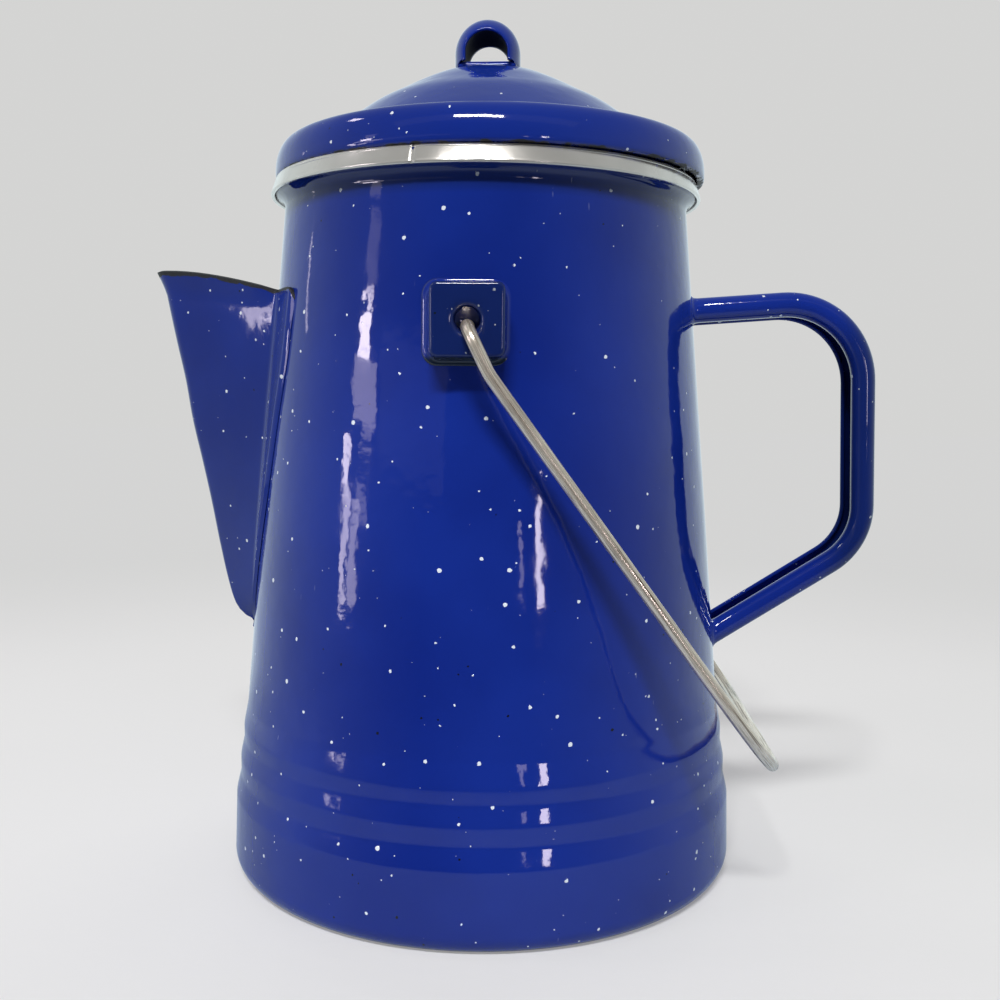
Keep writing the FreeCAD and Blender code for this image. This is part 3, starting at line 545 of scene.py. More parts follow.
def drill_strainer(pot):
    """Cuts the strainer holes behind the spout, in the rows that the CAD wall has them in."""
    edit = bmesh.new()
    sides = 20
    for row in range(STRAINER_ROWS):
        level = STRAINER_LOW + row * STRAINER_PITCH
        half_width = spout_root_half_width(level) - STRAINER_MARGIN
        count = max(1, int(2 * half_width / STRAINER_PITCH) + 1)
        for column in range(count):
            across = (column - (count - 1) / 2) * STRAINER_PITCH
            ring = []
            for distance in (50, 100):
                loop = []
                for a in turn_angles(sides):
                    y = across + STRAINER_HOLE * math.cos(a)
                    z = level + STRAINER_HOLE * math.sin(a)
                    loop.append(edit.verts.new((-distance * MM, y * MM, z * MM)))
                ring.append(loop)
            for k in range(sides):
                n = (k + 1) % sides
                edit.faces.new((ring[0][k], ring[0][n], ring[1][n], ring[1][k]))
            edit.faces.new(ring[0][::-1])
            edit.faces.new(ring[1])
    bmesh.ops.recalc_face_normals(edit, faces=edit.faces)
    mesh = bpy.data.meshes.new("strainer_rods")
    edit.to_mesh(mesh)
    edit.free()
    rods = bpy.data.objects.new("strainer_rods", mesh)
    show(rods)
    cut = pot.modifiers.new("strainer", "BOOLEAN")
    cut.operation = "DIFFERENCE"
    cut.solver = "EXACT"
    cut.object = rods
    apply_modifiers(pot)
    bpy.data.objects.remove(rods)


# ------------ spout
# Up the spout: (level, distance of its nose from the axis).
NOSE = ((83.0, 80.7), (83.8, 83.4), (85.8, 86.3), (89.2, 88.7), (97.2, 90.9), (111.5, 93.4), (125.6, 95.5),
        (139.5, 97.9), (153.0, 100.4), (166.6, 102.1), (180.0, 104.5), (193.0, 106.6), (204.0, 108.2))
# Up the spout: (level, half angle) where its side meets the wall, and at the edge of its flange.
JUNCTION = ((83.0, 0.5), (89.0, 5.0), (98.0, 9.0), (126.0, 15.0), (154.0, 19.0), (180.0, 22.2), (204.0, 24.5))
FLANGE = ((83.0, 1.5), (86.0, 6.5), (92.0, 11.5), (108.0, 18.5), (129.0, 25.0), (153.0, 30.0), (174.0, 34.3),
          (200.0, 36.6))


def follow(table, level):
    """Smooth reading of a table of (level, value) pairs."""
    if level <= table[0][0]:
        return table[0][1]
    for k in range(len(table) - 1):
        (low, a), (high, b) = table[k], table[k + 1]
        if level <= high:
            before = table[max(k - 1, 0)]
            after = table[min(k + 2, len(table) - 1)]
            slope_a = (b - before[1]) / (high - before[0])
            slope_b = (after[1] - a) / (after[0] - low)
            t, span = (level - low) / (high - low), high - low
            return (
                (1 + 2 * t) * (1 - t) ** 2 * a + t * (1 - t) ** 2 * span * slope_a
                + t * t * (3 - 2 * t) * b - t * t * (1 - t) * span * slope_b
            )
    return table[-1][1]


# Half widths of the CAD spout at the wall, which the strainer's rows follow.
ROOT_WIDTHS = ((98.0, 14.0), (126.0, 20.5), (154.0, 24.5), (180.0, 27.5), (195.5, 28.6))


def spout_root_half_width(level):
    """Half width of the CAD spout where it meets the wall; 0 below and above it."""
    for (low, a), (high, b) in zip(ROOT_WIDTHS, ROOT_WIDTHS[1:]):
        if low <= level <= high:
            return a + (b - a) * (level - low) / (high - low)
    return 0


SPOUT_FOOT = 80.5
RIM_AT_WALL = 193.4
RIM_AT_NOSE = SPOUT_HIGH.z + 0.1
LIP_HEIGHT = 6.6
LIP_FLARE = 1.7
FLANGE_CORNER = 3.5
FLANGE_SHEET = 1.3
SPOUT_FILLET = 4.5
CORNER_STEPS = 8


def half_section(share):
    """One side of the spout at a share of its height: points from the flange's edge to the nose."""
    base = SPOUT_FOOT + (RIM_AT_WALL - SPOUT_FOOT) * share
    rise = (RIM_AT_NOSE - RIM_AT_WALL) * share ** 6
    nose = follow(NOSE, base + rise)
    radius = wall_radius(base)
    junction = math.radians(follow(JUNCTION, base))
    flange = max(math.radians(follow(FLANGE, base)), junction + 0.015)
    nose_radius = 2.2 + 5.6 * share
    outer = radius + FLANGE_SHEET
    on_wall = [
        (-outer * math.cos(angle), outer * math.sin(angle))
        for angle in (flange, 0.5 * (flange + junction), junction)
    ]
    outline = on_wall + [(-nose + 0.02 * nose_radius, 0.95 * nose_radius), (-nose, 0)]
    depth = Vector(on_wall[-1])[0] + nose
    radii = [0, 0, min(SPOUT_FILLET, 0.3 * depth), min(2.4 * nose_radius, 0.5 * depth), 0]
    smooth = [Vector(p) for p in rounded_outline(outline, radii, CORNER_STEPS, closed=False)]
    # Every section has the same number of points: two runs of flange, the fillet, the cheek and the nose.
    points = [smooth[0].lerp(smooth[1], k / 6).normalized() * outer for k in range(6)]
    points += [smooth[1].lerp(smooth[2], k / 5) for k in range(5)]
    cheek = 2 + CORNER_STEPS
    points += smooth[2:cheek + 1]
    points += [smooth[cheek].lerp(smooth[cheek + 1], k / 10) for k in range(1, 10)]
    points += smooth[cheek + 1:]
    found = []
    for spot in points:
        out = min(1.0, max(0.0, (spot.length - radius) / (nose - radius)))
        found.append(Vector((spot.x, spot.y, base + rise * (1 - (1 - out) ** 1.85))))
    return found


def spout_rows():
    """Rows of the spout's outer surface from its foot to the rim."""
    shares = [0.0, 0.006, 0.014, 0.025, 0.04, 0.06] + [0.08 + 0.92 * k / 58 for k in range(59)]
    rows = []
    for share in shares:
        half = half_section(share)
        mirrored = [Vector((p.x, -p.y, p.z)) for p in half[-2::-1]]
        rows.append(half + mirrored)
    return rows


def flare_lip(rows):
    """Pushes the top of the channel outwards to make its rolled lip, with a crease below it."""
    normals = grid_normals(rows)
    for i, row in enumerate(rows):
        for j, spot in enumerate(row):
            level_left = rows[-1][j].z - spot.z
            wall = wall_radius(min(spot.z, 200))
            out = smoothstep(wall + 1.5, wall + 6, math.hypot(spot.x, spot.y))
            above_crease = min(1.0, max(0.0, 1 - level_left / LIP_HEIGHT))
            lift = LIP_FLARE * (0.9 * above_crease + 0.1 * above_crease ** 3)
            row[j] = spot + normals[i][j] * lift * out
    return rows


def grid_normals(rows):
    """Direction across the surface at each point of a grid."""
    found = []
    for i, row in enumerate(rows):
        above, below = rows[min(i + 1, len(rows) - 1)], rows[max(i - 1, 0)]
        line = []
        for j in range(len(row)):
            along = row[min(j + 1, len(row) - 1)] - row[max(j - 1, 0)]
            up = above[j] - below[j]
            normal = along.cross(up)
            normal = normal.normalized() if normal.length > 1e-9 else Vector((-1, 0, 0))
            line.append(normal)
        found.append(line)
    return found


def spout_sheet(rows, normals):
    """Outer and inner points of the spout's sheet, and how bare of blue each is."""
    columns = len(rows[0])
    outer, inner, bare_and_shaded = [], [], []
    for i, row in enumerate(rows):
        for j, spot in enumerate(row):
            wall = wall_radius(spot.z)
            flat = math.hypot(spot.x, spot.y)
            off_wall = flat - wall
            inward = spot - normals[i][j] * WALL
            if math.hypot(inward.x, inward.y) < wall - 0.15:
                inward = at_radius(inward, wall - 0.15)
            from_edge = min((row[j] - row[0]).length, (row[j] - row[-1]).length)
            short = max(0.0, FLANGE_CORNER - from_edge)
            corner = FLANGE_CORNER - math.sqrt(FLANGE_CORNER ** 2 - short ** 2)
            drop = Vector((0, 0, corner * smoothstep(0.90, 1.0, i / (len(rows) - 1))))
            if j in (0, columns - 1):
                spot = Vector((spot.x, spot.y, 0)).normalized() * (wall + 0.15) + Vector((0, 0, spot.z))
            outer.append(spot - drop)
            inner.append(inward - drop)
            bare_and_shaded.append(smoothstep(1.2, 0.0, rows[-1][j].z - row[j].z) * smoothstep(0.6, 1.5, off_wall))
    return outer, inner, bare_and_shaded


def sheet_faces(count, columns):
    """Faces of a sheet with count rows of points on each side: outside, inside and edges."""
    outer_faces = grid_faces(count, columns)
    shift = count * columns
    inner_faces = [tuple(shift + v for v in face[::-1]) for face in outer_faces]
    rim = []
    last = (count - 1) * columns
    for j in range(columns - 1):
        rim.append((last + j, last + j + 1, shift + last + j + 1, shift + last + j))
        rim.append((j + 1, j, shift + j, shift + j + 1))
    for i in range(count - 1):
        a, b = i * columns, (i + 1) * columns
        rim.append((a, b, shift + b, shift + a))
        a, b = a + columns - 1, b + columns - 1
        rim.append((b, a, shift + a, shift + b))
    return outer_faces + inner_faces + rim


def make_spout():
    """The sheet spout, with its turned flange against the wall and its dark bare rim."""
    rows = flare_lip(spout_rows())
    normals = grid_normals(rows)
    if normals[30][len(rows[0]) // 2].x > 0:
        normals = [[-n for n in line] for line in normals]
    outer, inner, bare_and_shaded = spout_sheet(rows, normals)
    faces = sheet_faces(len(rows), len(rows[0]))
    spout = make_piece("pour_spout", outer + inner, faces, "pot", ENAMEL, ["spout"])
    point_values(spout, "bare_edge_and_painted_shade", bare_and_shaded + bare_and_shaded)
    point_values(spout, "painted_shade_and_tone", [SHADE_AND_TONE["spout"]] * (2 * len(bare_and_shaded)))
    soften_edges(spout, 0.35, 50)


# ------------ side handle
HANDLE_DEPTH = 7.8
HANDLE_SHEET = 1.3
HANDLE_CENTRE_LINE = [(62.0, 0, 193.4), (126.6, 0, 198.0), (132.6, 0, 113.0), (72.0, 0, 73.0)]
HANDLE_BENDS = [30.0, 25.0]
WELD_DEPTH = 0.25


def handle_section():
    """Closed (across, inwards) outline of the strap: a flat back with both long edges rolled inwards."""
    half = HANDLE_HIGH.y
    roll = HANDLE_DEPTH / 2
    outer = arc_points((half - roll, roll), (roll, roll), -90, 90, 14)
    inner = arc_points((half - roll, roll), (roll - HANDLE_SHEET,) * 2, 90, -90, 12)
    end = half - roll - 0.45
    edge = [(end, HANDLE_DEPTH - 0.25), (end, HANDLE_DEPTH - HANDLE_SHEET + 0.25)]
    right = outer + edge + inner
    left = [(-across, depth) for across, depth in right[::-1]]
    return spaced(right + left + [right[0]], 2.0)[:-1]


def make_handle():
    """The side handle, swept along its centre line and welded to the wall at both ends."""
    route = rounded_route(HANDLE_CENTRE_LINE, HANDLE_BENDS, 2.0)
    tangents = route_tangents(route)
    section = handle_section()
    rows = []
    for spot, along in zip(route, tangents):
        inward = Vector((along.z, 0, -along.x))
        if inward.dot(Vector((95, 0, 150)) - spot) < 0:
            inward = -inward
        rows.append([spot + Vector((0, across, 0)) + inward * depth for across, depth in section])
    clear = [row for row in rows[1:-1] if min(p.x - wall_radius(p.z) for p in row) > 2.6]
    rows = [rows[0]] + clear + [rows[-1]]
    rows = weld_end(rows, 0)
    rows = weld_end(rows, -1)
    vertices = [p for row in rows for p in row]
    faces = tube_faces(len(rows), len(section))
    handle = make_piece("side_handle", vertices, faces, "pot", ENAMEL, ["handle"])
    # Painted shade: the outer part of the strap, turned away from the light, is darkened.
    middle = (HANDLE_HIGH.x + SHELL_HIGH.x) / 2
    reach = HANDLE_HIGH.x - 6
    point_values(handle, "painted_shade_and_tone", [SHADE_AND_TONE["handle"] * smoothstep(middle, reach, v.x) for v in vertices])


def weld_end(rows, end):
    """Brings one end of the handle down onto the wall and flares it into a small weld fillet."""
    outer, beside = (rows[0], rows[1]) if end == 0 else (rows[-1], rows[-2])
    middle = sum(beside, Vector()) / len(beside)
    landed = []
    for far, near in zip(outer, beside):
        def clear_of_wall(share):
            spot = near.lerp(far, share)
            return math.hypot(spot.x, spot.y) > wall_radius(spot.z) - WELD_DEPTH

        landed.append(near.lerp(far, last_inside(clear_of_wall, 1.0, 30)))
    fresh = []
    for gap, flare in ((2.2, 0.0), (1.2, 0.22), (0.6, 0.6), (0.25, 1.1), (0.0, 1.7)):
        line = []
        for spot, near in zip(landed, beside):
            away = near - middle
            away.x = 0
            run = near - spot
            side = away.normalized() if away.length > 1e-6 else Vector()
            reach = min(gap + (0.05 if gap else 0), run.length * 0.9)
            moved = spot + run.normalized() * reach + side * flare
            if gap == 0:
                moved = at_radius(moved, wall_radius(moved.z) - WELD_DEPTH)
            line.append(moved)
        fresh.append(line)
    if end == 0:
        return fresh[::-1] + rows[1:]
    return rows[:-1] + fresh


# ------------ bail lugs
def rounded_square(angle, half_width, half_height, radius):
    """Distance from the centre to a rounded square's outline, at an angle."""
    c, s = abs(math.cos(angle)), abs(math.sin(angle))

    def inside(reach):
        x, y = reach * c - (half_width - radius), reach * s - (half_height - radius)
        if x > 0 and y > 0:
            return math.hypot(x, y) <= radius
        return x <= radius and y <= radius

    return last_inside(inside, half_width + half_height, 40)


LUG_HOLE = 3.65
LUG_ROOT = (11.6, 10.7)
LUG_FACE = (10.2, 9.8)
LUG_EDGE = 1.0
LUG_SKEW = 0.9


def make_lug(name, side, node):
    """A pressed square cap that grows out of the wall, with a drawn-in hole at its middle."""
    face = LUG_HIGH.y
    level = (LUG_LOW.z + LUG_HIGH.z) / 2
    count = 96
    vertices = []

    def ring(half_width, half_height, corner, depth=None, proud=0.0, share=0.0):
        """One ring of points, on the wall or at a depth below the face; share shrinks it towards the hole."""
        for a in turn_angles(count):
            reach = rounded_square(a, half_width, half_height, corner)
            reach += (LUG_HOLE - reach) * share
            x, z = reach * math.cos(a), level + reach * math.sin(a)
            y = math.sqrt((wall_radius(z) + proud) ** 2 - x * x) if depth is None else face - depth
            aside = 0.0 if depth is not None else LUG_SKEW
            vertices.append(Vector(((x + aside) * side, y * side, z)))

    width, height = LUG_ROOT
    for grow, proud in ((1.1, 0.05), (0.6, 0.12), (0.1, 0.30), (-0.35, 0.75), (-0.65, 1.4)):
        ring(width + grow, height + grow, 4.2 + 0.4 * grow, None, proud)
    width, height = LUG_FACE
    for k in range(9):
        a = math.radians(90 * k / 8)
        inset = LUG_EDGE * (1 - math.cos(a))
        ring(width - inset, height - inset, 2.0 - 0.4 * inset, LUG_EDGE * (1 - math.sin(a)))
    width, height = width - LUG_EDGE, height - LUG_EDGE
    into_hole = (
        (0.25, 0.0), (0.5, 0.0), (0.72, 0.05), (0.86, 0.22),
        (0.95, 0.55), (1.0, 1.05), (1.0, 1.7), (1.05, 2.2),
    )
    for share, depth in into_hole:
        ring(width, height, 1.6, depth, 0.0, share)
    for depth in (2.6, 6.0):
        ring(6.5, 6.5, 6.4, depth)
    faces = tube_faces(len(vertices) // count, count)
    lug = make_piece(name, vertices, faces, "pot", ENAMEL, [node])
    # The lug's face is a darker blue, and a painted shadow darkens its underside.
    under = level - LUG_FACE[1]
    darker_face = [SHADE_AND_TONE["lug"] * smoothstep(face - 4.5, face - 1.0, abs(v.y)) for v in vertices]
    painted_shadow_beneath = [0.95 * smoothstep(under + 0.9, under - 0.1, v.z) for v in vertices]
    point_values(lug, "painted_shade_and_tone", [max(pair) for pair in zip(darker_face, painted_shadow_beneath)])


# ------------ steel band
def make_band():
    """Rolled steel band, with a butt seam to the left of the front lug."""
    low, high = BAND_LOW.z, BAND_HIGH.z
    outer = BAND_HIGH.x
    inner = outer - BAND_SHEET
    outline = [
        (inner, low + 1.6), (inner + 0.3, low + 0.2), (outer - 0.1, low - 0.1),
        (outer + 0.15, low + 0.6), (outer - 0.05, low + 1.2), (outer - 1.55, high - 0.1),
        (outer - 1.9, high + 0.1), (inner - 1.0, high + 0.1), (inner - 1.0, high - 0.6), (inner, high - 0.6),
    ]
    profile = rounded_outline(outline, [0.2, 0.3, 0.4, 0.4, 0.5, 0.3, 0.2, 0.2, 0.2, 0.1], 5)
    seam = math.atan2(-67.0, -16.0) % (2 * math.pi)

    def seam_groove(angle, radius, level):
        return -0.35 * math.exp(-(((angle - seam) * radius) / 0.35) ** 2)

    vertices, faces = lathe(profile, 720, seam_groove)
    band = make_piece("mouth_band", vertices, faces, "pot", BAND_STEEL, ["rim_band"])
    point_values(band, "along", [math.atan2(v.y, v.x) * outer for v in vertices])
    point_values(band, "around", [v.z for v in vertices])


# ------------ bail
BAIL_DROP = math.radians(54)
BAIL_REACH = 162.0
BAIL_HALF_TOP = 80.0
BAIL_KINK = (14.0, -2.4)
PIN_END = 72.6
WIRE_RADIUS = 1.85
BAIL_BENDS = (6, 18, 40, 40, 18, 6)


def bail_route():
    """Middle of the wire, from the front pin to the rear pin."""
    half = node_box("bail_wire")[1].y - WIRE_RADIUS

    def place(reach, across, lift):
        x = reach * math.cos(BAIL_DROP) + lift * math.sin(BAIL_DROP)
        return (x, across, PIVOT.z - reach * math.sin(BAIL_DROP) + lift * math.cos(BAIL_DROP))

    def arm(side):
        return [
            place(0, PIN_END * side, 0), place(0, half * side, 0),
            place(BAIL_KINK[0], half * side, BAIL_KINK[1]), place(BAIL_REACH, BAIL_HALF_TOP * side, 0),
        ]

    return rounded_route(arm(-1) + arm(1)[::-1], BAIL_BENDS, 2.5)


def wire_rings(route, tangents):
    """(middle, radius, direction) of each ring of a wire with rounded ends."""
    first, last = tangents[0], tangents[-1]
    blunt = [(0.5 - 0.5 * math.cos(a), WIRE_RADIUS * math.sin(a)) for a in (0.35, 0.8, 1.2)]
    rings = [(route[0] + first * inset, radius, first) for inset, radius in blunt]
    rings += [(spot, WIRE_RADIUS, along) for spot, along in zip(route[1:-1], tangents[1:-1])]
    return rings + [(route[-1] - last * inset, radius, last) for inset, radius in blunt[::-1]]


def make_bail():
    """The wire bail: pins in the lugs, kinked arms and a flat top."""
    route = bail_route()
    tangents = route_tangents(route)
    rings = wire_rings(route, tangents)
    count = 24
    vertices, around, along = [], [], []
    upright = Vector((0, 0, 1))
    upright = (upright - tangents[0] * upright.dot(tangents[0])).normalized()
    travelled = 0.0
    before = rings[0][0]
    for spot, radius, tangent in rings:
        upright = (upright - tangent * upright.dot(tangent)).normalized()
        sideways = tangent.cross(upright)
        travelled += (spot - before).length
        before = spot
        for k, a in enumerate(turn_angles(count)):
            vertices.append(spot + (upright * math.cos(a) + sideways * math.sin(a)) * radius)
            around.append(abs(k - count / 2) / count)
            along.append(travelled / 10)
    faces = tube_faces(len(rings), count)
    bail = make_piece("bail_handle", vertices, faces, "bail", WIRE_STEEL, ["bail_wire"])
    point_values(bail, "around", around)
    point_values(bail, "along", along)


# ------------ lid
# Top of the dome from its flat middle to the crest of the brim: (radius, level).
DOME = ((0, 262.95), (6, 262.9), (11, 262.5), (17, 261.1), (24, 258.2), (31.6, 254.4), (38.5, 250.9),
        (46.9, 245.3), (52.5, 241.3), (56.0, 238.7), (58.6, 237.6), (61.0, 238.1), (64, 239.2))
BRIM_CENTRE = (64.0, 230.2)
BRIM_ROLL = (4.9, 9.0)
LID_SHEET = 1.1
LIP_HEM = 2.4
# The lid sits a little to the handle's side and a little askew, as a loose lid does.
LID_SHIFT = 1.3
LOOP_SHIFT = 0.5
LID_LEAN = math.radians(0.4)


def seated(spot, shift=LID_SHIFT):
    """Where a point of the lid is once the lid sits askew."""
    level = spot.z - LID_LOW.z
    x = spot.x * math.cos(LID_LEAN) - level * math.sin(LID_LEAN)
    z = spot.x * math.sin(LID_LEAN) + level * math.cos(LID_LEAN)
    return Vector((x + shift, spot.y, z + LID_LOW.z))


def lid_profile():
    """Closed section of the lid: dome, brim, closed lip and underside."""
    top = []
    radius = 0.0
    while radius < 63.9:
        top.append((radius, follow(DOME, radius)))
        radius += 2.0 if radius < 50 else 0.7
    brim = arc_points(BRIM_CENTRE, BRIM_ROLL, 90, 0, 16)
    low = LID_LOW.z - 0.15
    edge = BRIM_CENTRE[0] + BRIM_ROLL[0]
    hem = edge - LIP_HEM
    roll = [
        (edge, low + 0.9), (edge - 0.15, low + 0.4), (edge - 0.5, low + 0.08), (edge - 0.9, low),
        (hem + 0.4, low), (hem, low + 0.3), (hem, low + 1.1), (edge - LID_SHEET, low + 2.0),
    ]
    inner = arc_points(BRIM_CENTRE, (BRIM_ROLL[0] - LID_SHEET, BRIM_ROLL[1] - LID_SHEET), 8, 90, 10)
    under = [(r, z - LID_SHEET * (1.12 if 20 < r < 58 else 1.0)) for r, z in top[::-1]]
    return top + brim + roll + inner + under[1:]


def make_lid():
    """The domed lid, seated a little askew."""
    vertices, faces = lathe(lid_profile(), 288, dent)
    low = LID_LOW.z
    bare_and_shaded = [0.5 * smoothstep(0.6, 0.1, v.z - low) for v in vertices]
    vertices = [seated(v) for v in vertices]
    lid = make_piece("lid_dome", vertices, faces, "lid", ENAMEL, ["lid_shell"])
    point_values(lid, "bare_edge_and_painted_shade", bare_and_shaded)
    point_values(lid, "painted_shade_and_tone", [SHADE_AND_TONE["lid"]] * len(bare_and_shaded))


def make_skirt():
    """The ring inside the lid, rolled at its lower edge."""
    low, high = node_box("lid_skirt")
    outer = high.x
    sheet = 0.8
    turn, root = low.z + 13.5, outer - 4.5
    outline = [
        (outer, low.z), (outer, turn), (root, high.z - 0.1), (root - sheet, high.z - sheet),
        (outer - sheet, turn - sheet), (outer - sheet, low.z),
    ]
    profile = rounded_outline(outline, [0.35, 3.0, 0.1, 0.1, 2.4, 0.35], 5)
    vertices, faces = lathe(spaced(profile + [profile[0]], 2.5)[:-1], 240)
    make_piece("lid_skirt_ring", vertices, faces, "lid", ENAMEL, ["lid_skirt"])


LOOP_SHEET = 1.0
LOOP_DROOP = 3.9
LOOP_BAR = 1.9
LOOP_CORNER = 2.0


def crowned_section(half_width, droop, sheet):
    """(across, outwards, is inner) points round a strap that is crowned across its width."""
    outer, inner = [], []
    steps = 14
    for k in range(steps + 1):
        s = -1 + 2 * k / steps
        outer.append((half_width * s, -droop * abs(s) ** 2.2, 0.0))
        inner.append(((half_width - 0.75 * sheet) * s, -sheet - (droop - 0.5 * sheet) * abs(s) ** 2.2, 1.0))
    roll = [(half_width + 0.25, -droop - 0.45 * sheet, 0.0), (half_width - 0.15, -droop - 0.9 * sheet, 0.0)]
    return outer + roll + inner[::-1] + [(-across, out, is_in) for across, out, is_in in roll[::-1]]


def make_loop():
    """The lid's closed strap: a crowned arch with a bar across its feet, with painted shade that makes its
    inside black.
    """
    half_width = LOOP_HIGH.y - 0.2
    reach = LOOP_HIGH.x
    spring = LOOP_HIGH.z - reach
    foot = LOOP_LOW.z - 0.2
    arch = []
    for k in range(41):
        a = math.pi * k / 40
        arch.append(Vector((reach * math.cos(a), 0, spring + reach * math.sin(a))))
    corners = [(-reach, 0, spring), (-reach, 0, foot), (reach, 0, foot), (reach, 0, spring)]
    sides = rounded_route(corners, [LOOP_CORNER] * 2, 1.0)
    route = arch + sides[1:-1]
    count = len(route)
    vertices, bare_and_shaded = [], []
    for i, spot in enumerate(route):
        along = (route[(i + 1) % count] - route[i - 1]).normalized()
        outward = Vector((along.z, 0, -along.x))
        if outward.dot(spot - Vector((0, 0, spring - 1))) < 0:
            outward = -outward
        on_bar = smoothstep(-0.45, -0.95, outward.z)
        droop = LOOP_DROOP * (1 - on_bar) * (0.68 + 0.32 * max(0.0, outward.z)) + 0.3
        sheet = LOOP_SHEET + (LOOP_BAR - LOOP_SHEET) * on_bar
        for across, out, is_inner in crowned_section(half_width - 1.5 * on_bar, droop, sheet):
            vertices.append(seated(spot + Vector((0, across, 0)) + outward * out, LOOP_SHIFT))
            # Painted shade: the hollow inside of the strap is made near black.
            bare_and_shaded.append(is_inner * (1 - on_bar))
    columns = len(vertices) // count
    faces = grid_faces(count, columns, wrap_rows=True, wrap_columns=True)
    loop = make_piece("lid_loop_strap", vertices, faces, "lid", ENAMEL, ["lid_loop"])
    point_values(loop, "bare_edge_and_painted_shade", bare_and_shaded)


# ------------ pieces that keep their CAD shape
def dress_nodes():
    """Materials for the nodes that are shown as they are."""
    metal = ("pump_foot", "pump_tube", "basket_stop", "basket_cup", "basket_post", "basket_cover")
    for name in ("bottom_plate",) + metal:
        mesh = NODES[name].data
        mesh.materials.clear()
        mesh.materials.append(ALUMINIUM if name in metal else ENAMEL)


# ------------ floor, light and camera
def stage_disc(name, radius, material):
    """A round sheet at the level that the pot stands on."""
    mesh = bpy.data.meshes.new(name)
    edge = [(radius * math.cos(a), radius * math.sin(a), 0) for a in turn_angles(96)]
    mesh.from_pydata(edge, [], [tuple(range(len(edge)))])
    disc = bpy.data.objects.new(name, mesh)
    mesh.materials.append(material)
    show(disc)


# Brightness of the pale surroundings as they are seen, and of the fill that they give.
BACKDROP = 0.66
FILL = 0.07


def pale_floor():
    """A pale floor that fades into the backdrop with distance, and is dimmer in reflections."""
    s = Shader(bpy.data.materials.new("pale_floor"))
    where = s.place_on_part()
    distance = s.node("VectorMath", {0: where}, operation="LENGTH").outputs["Value"]
    narrowed = s.node("VectorMath", {0: where, 1: (0.5, 1.0, 1.0)}, operation="MULTIPLY").outputs[0]
    ahead = s.node("VectorMath", {0: narrowed}, operation="LENGTH").outputs["Value"]
    path = s.node("LightPath").outputs
    far = s.ramp(distance, 0.30, 0.85)
    near_colour = s.mix(s.noise(where, 3.0, 3.0), (0.56, 0.56, 0.555, 1), (0.60, 0.60, 0.595, 1))
    unseen = s.math("SUBTRACT", 1.0, path["Is Camera Ray"])
    near_colour = s.mix(s.times(unseen, 0.5), near_colour, (0.06, 0.24, 0.42, 1))
    colour = s.mix(far, near_colour, (0.0, 0.0, 0.0, 1))
    glow = s.mix(far, (0.26, 0.26, 0.262, 1), (BACKDROP, BACKDROP, BACKDROP * 0.995, 1))
    shows = s.math("ADD", s.times(path["Is Camera Ray"], 0.45), 0.55)
    bump = s.bump(s.noise(where, 120.0, 4.0), 0.15, 0.001)
    through = s.times(s.ramp(ahead, 0.16, 0.34), path["Is Glossy Ray"])
    return s.finish(
        Base_Color=colour, Roughness=0.9, Specular_IOR_Level=0.0, Normal=bump,
        Emission_Color=glow, Emission_Strength=shows, Alpha=s.math("SUBTRACT", 1.0, through),
    )


def panel_light(name, azimuth, elevation, distance, width, height, radiance, colour=(1, 1, 1)):
    """A panel that faces the pot; azimuth 0 is towards -Y and grows towards +X. Sizes are in degrees seen."""
    data = bpy.data.lights.new(name, "AREA")
    data.shape = "RECTANGLE"
    data.size = 2 * distance * math.tan(math.radians(width / 2))
    data.size_y = 2 * distance * math.tan(math.radians(height / 2))
    data.energy = radiance * data.size * data.size_y * math.pi
    data.color = colour
    light = bpy.data.objects.new(name, data)
    a, e = math.radians(azimuth), math.radians(elevation)
    toward = Vector((math.sin(a) * math.cos(e), -math.cos(a) * math.cos(e), math.sin(e)))
    light.location = Vector((0, 0, 0.15)) + toward * distance
    light.rotation_euler = Euler((math.radians(90) - e, 0, a))
    show(light)
    return light


# Panes of the window on the left: azimuth, elevation, width, height in degrees, brightness.
LEFT_PANES = (
    (-60.0, 14.0, 6.5, 2.7, 20.0), (-58.5, 16.1, 4.0, 0.7, 14.0), (-59.0, 11.0, 14.0, 3.3, 3.4),
    (-57.0, 8.5, 6.0, 1.8, 2.2), (-68.0, 6.0, 4.0, 3.0, 13.0), (-66.3, 1.2, 3.2, 6.9, 8.0),
    (-61.5, 1.0, 4.6, 6.4, 4.5), (-58.0, 4.8, 7.0, 2.4, 2.0), (-58.0, 19.0, 6.0, 4.0, 1.0),
)
LAVENDER = (1.0, 0.88, 0.98)


def make_light():
    """Windows on both sides, one key lamp from above, and soft fills."""
    for k, (azimuth, elevation, width, height, radiance) in enumerate(LEFT_PANES):
        panel_light("window_left_%d" % k, azimuth, elevation, 1.7, width, height, radiance, LAVENDER)
    panel_light("window_far_left", -106.0, 13.0, 1.7, 1.8, 5.0, 3.0, LAVENDER)
    panel_light("window_right", 30.0, 3.7, 2.2, 3.2, 7.2, 15.0, LAVENDER)
    panel_light("window_right_dim", 21.0, 3.4, 2.2, 2.0, 4.0, 3.0, LAVENDER)
    panel_light("lamp", -4.0, 47.0, 2.4, 20.0, 4.6, 97.0)
    panel_light("lamp_left", -90.0, 47.0, 1.6, 7.0, 4.0, 12.0, LAVENDER)
    for azimuth in (150.0, 205.0):
        fill = panel_light("fill_rear_%d" % azimuth, azimuth, 32.0, 1.8, 40.0, 30.0, 1.5)
        fill.visible_glossy = False
    for k in range(3):
        panel_light("soft_left_%d" % k, -33.0, 11.4, 1.9, 34.0 - 9.0 * k, 7.5 - 1.8 * k, 0.14)
        panel_light("soft_above_%d" % k, 0.0, 46.0, 2.1, 80.0 - 18.0 * k, 14.0 - 3.0 * k, 0.12)


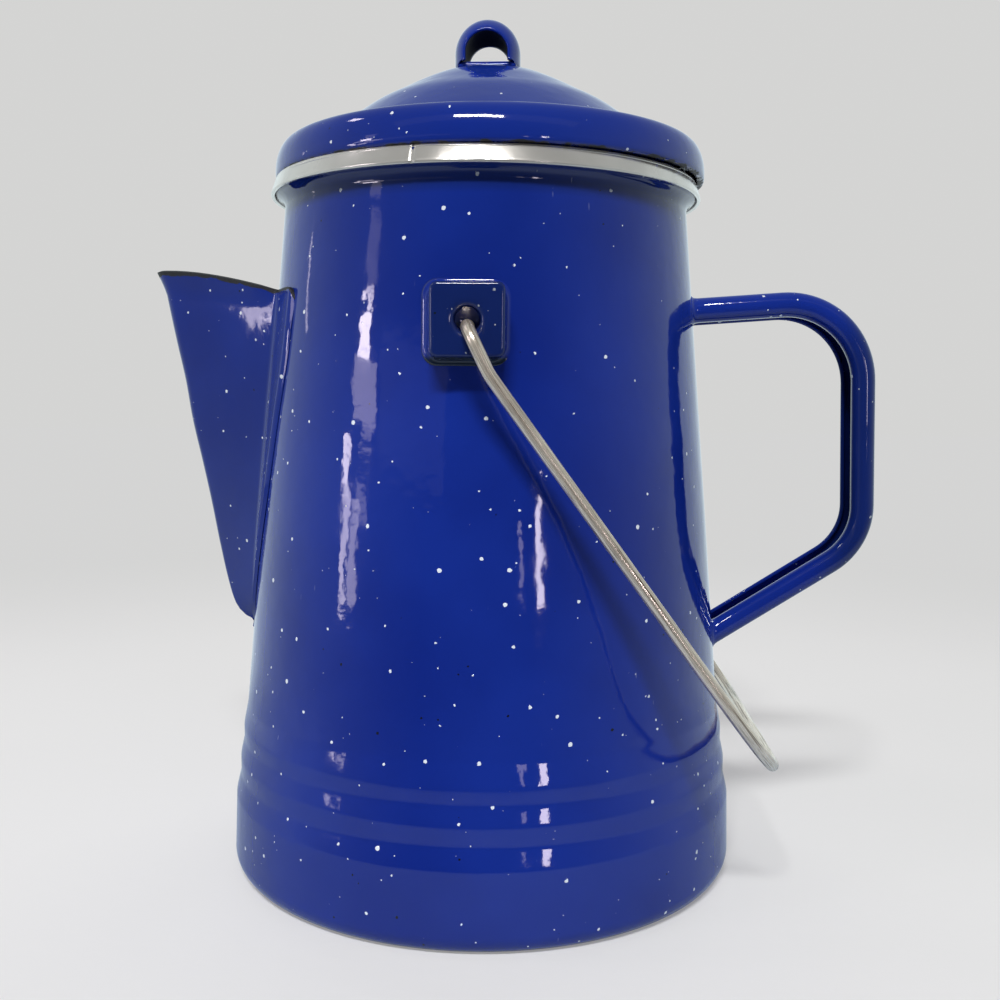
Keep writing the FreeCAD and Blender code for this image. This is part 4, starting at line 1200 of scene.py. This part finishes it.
def make_world():
    """Pale surroundings: plain to the eye, a dim even fill, and in reflections a room lit from behind."""
    world = bpy.data.worlds.new("studio")
    bpy.context.scene.world = world
    s = Shader(world)
    direction = s.node("TexCoord").outputs["Generated"]
    split = s.node("SeparateXYZ", {0: direction}).outputs
    round_room = s.ramp(split["Y"], -0.9, 0.95, 0.05, 0.92, smooth=False)
    overhead = s.ramp(split["Z"], 0.25, 0.75, 1.0, 0.5, smooth=False)
    level = s.times(round_room, overhead)
    path = s.node("LightPath").outputs
    glossy = path["Is Glossy Ray"]
    even = s.blend(path["Is Diffuse Ray"], BACKDROP, FILL)
    strength = s.blend(glossy, even, level)
    tint = s.mix(glossy, (1, 1, 0.99, 1), (0.86, 1.0, 1.04, 1))
    shader = s.node("Background", {"Color": tint, "Strength": strength})
    s.node("OutputWorld", {"Surface": shader.outputs[0]})


# The camera: its lens as a share of the sensor's width, its place in metres, and how far it is tipped down,
# turned and rolled, in degrees.
SENSOR_WIDTH = 36.0
LENS_SHARE = 1.1007
CAMERA_PLACE = (0.0242, -0.3844, 0.1607)
CAMERA_TILT = (12.76, 2.72, 0.57)


def make_camera():
    """A close camera a little above the pot's middle, looking down at it from in front of the lug."""
    data = bpy.data.cameras.new("camera")
    data.sensor_width = SENSOR_WIDTH
    data.lens = SENSOR_WIDTH * LENS_SHARE
    data.shift_y = 0.15
    data.clip_start = 0.02
    camera = bpy.data.objects.new("camera", data)
    camera.location = CAMERA_PLACE
    down, turn, roll = (math.radians(degrees) for degrees in CAMERA_TILT)
    aim = Euler((math.radians(90) - down, 0, turn)).to_matrix() @ Euler((0, 0, roll)).to_matrix()
    camera.rotation_euler = aim.to_euler()
    show(camera)
    bpy.context.scene.camera = camera


# ------------ the whole scene
make_pot()
make_spout()
make_handle()
make_lug("front_lug", -1, "bail_lug_front")
make_lug("rear_lug", 1, "bail_lug_rear")
make_band()
make_bail()
make_lid()
make_skirt()
make_loop()
dress_nodes()

stage_disc("floor", 6.0, pale_floor())
make_light()
make_world()
make_camera()
bpy.context.scene.view_settings.view_transform = "Standard"
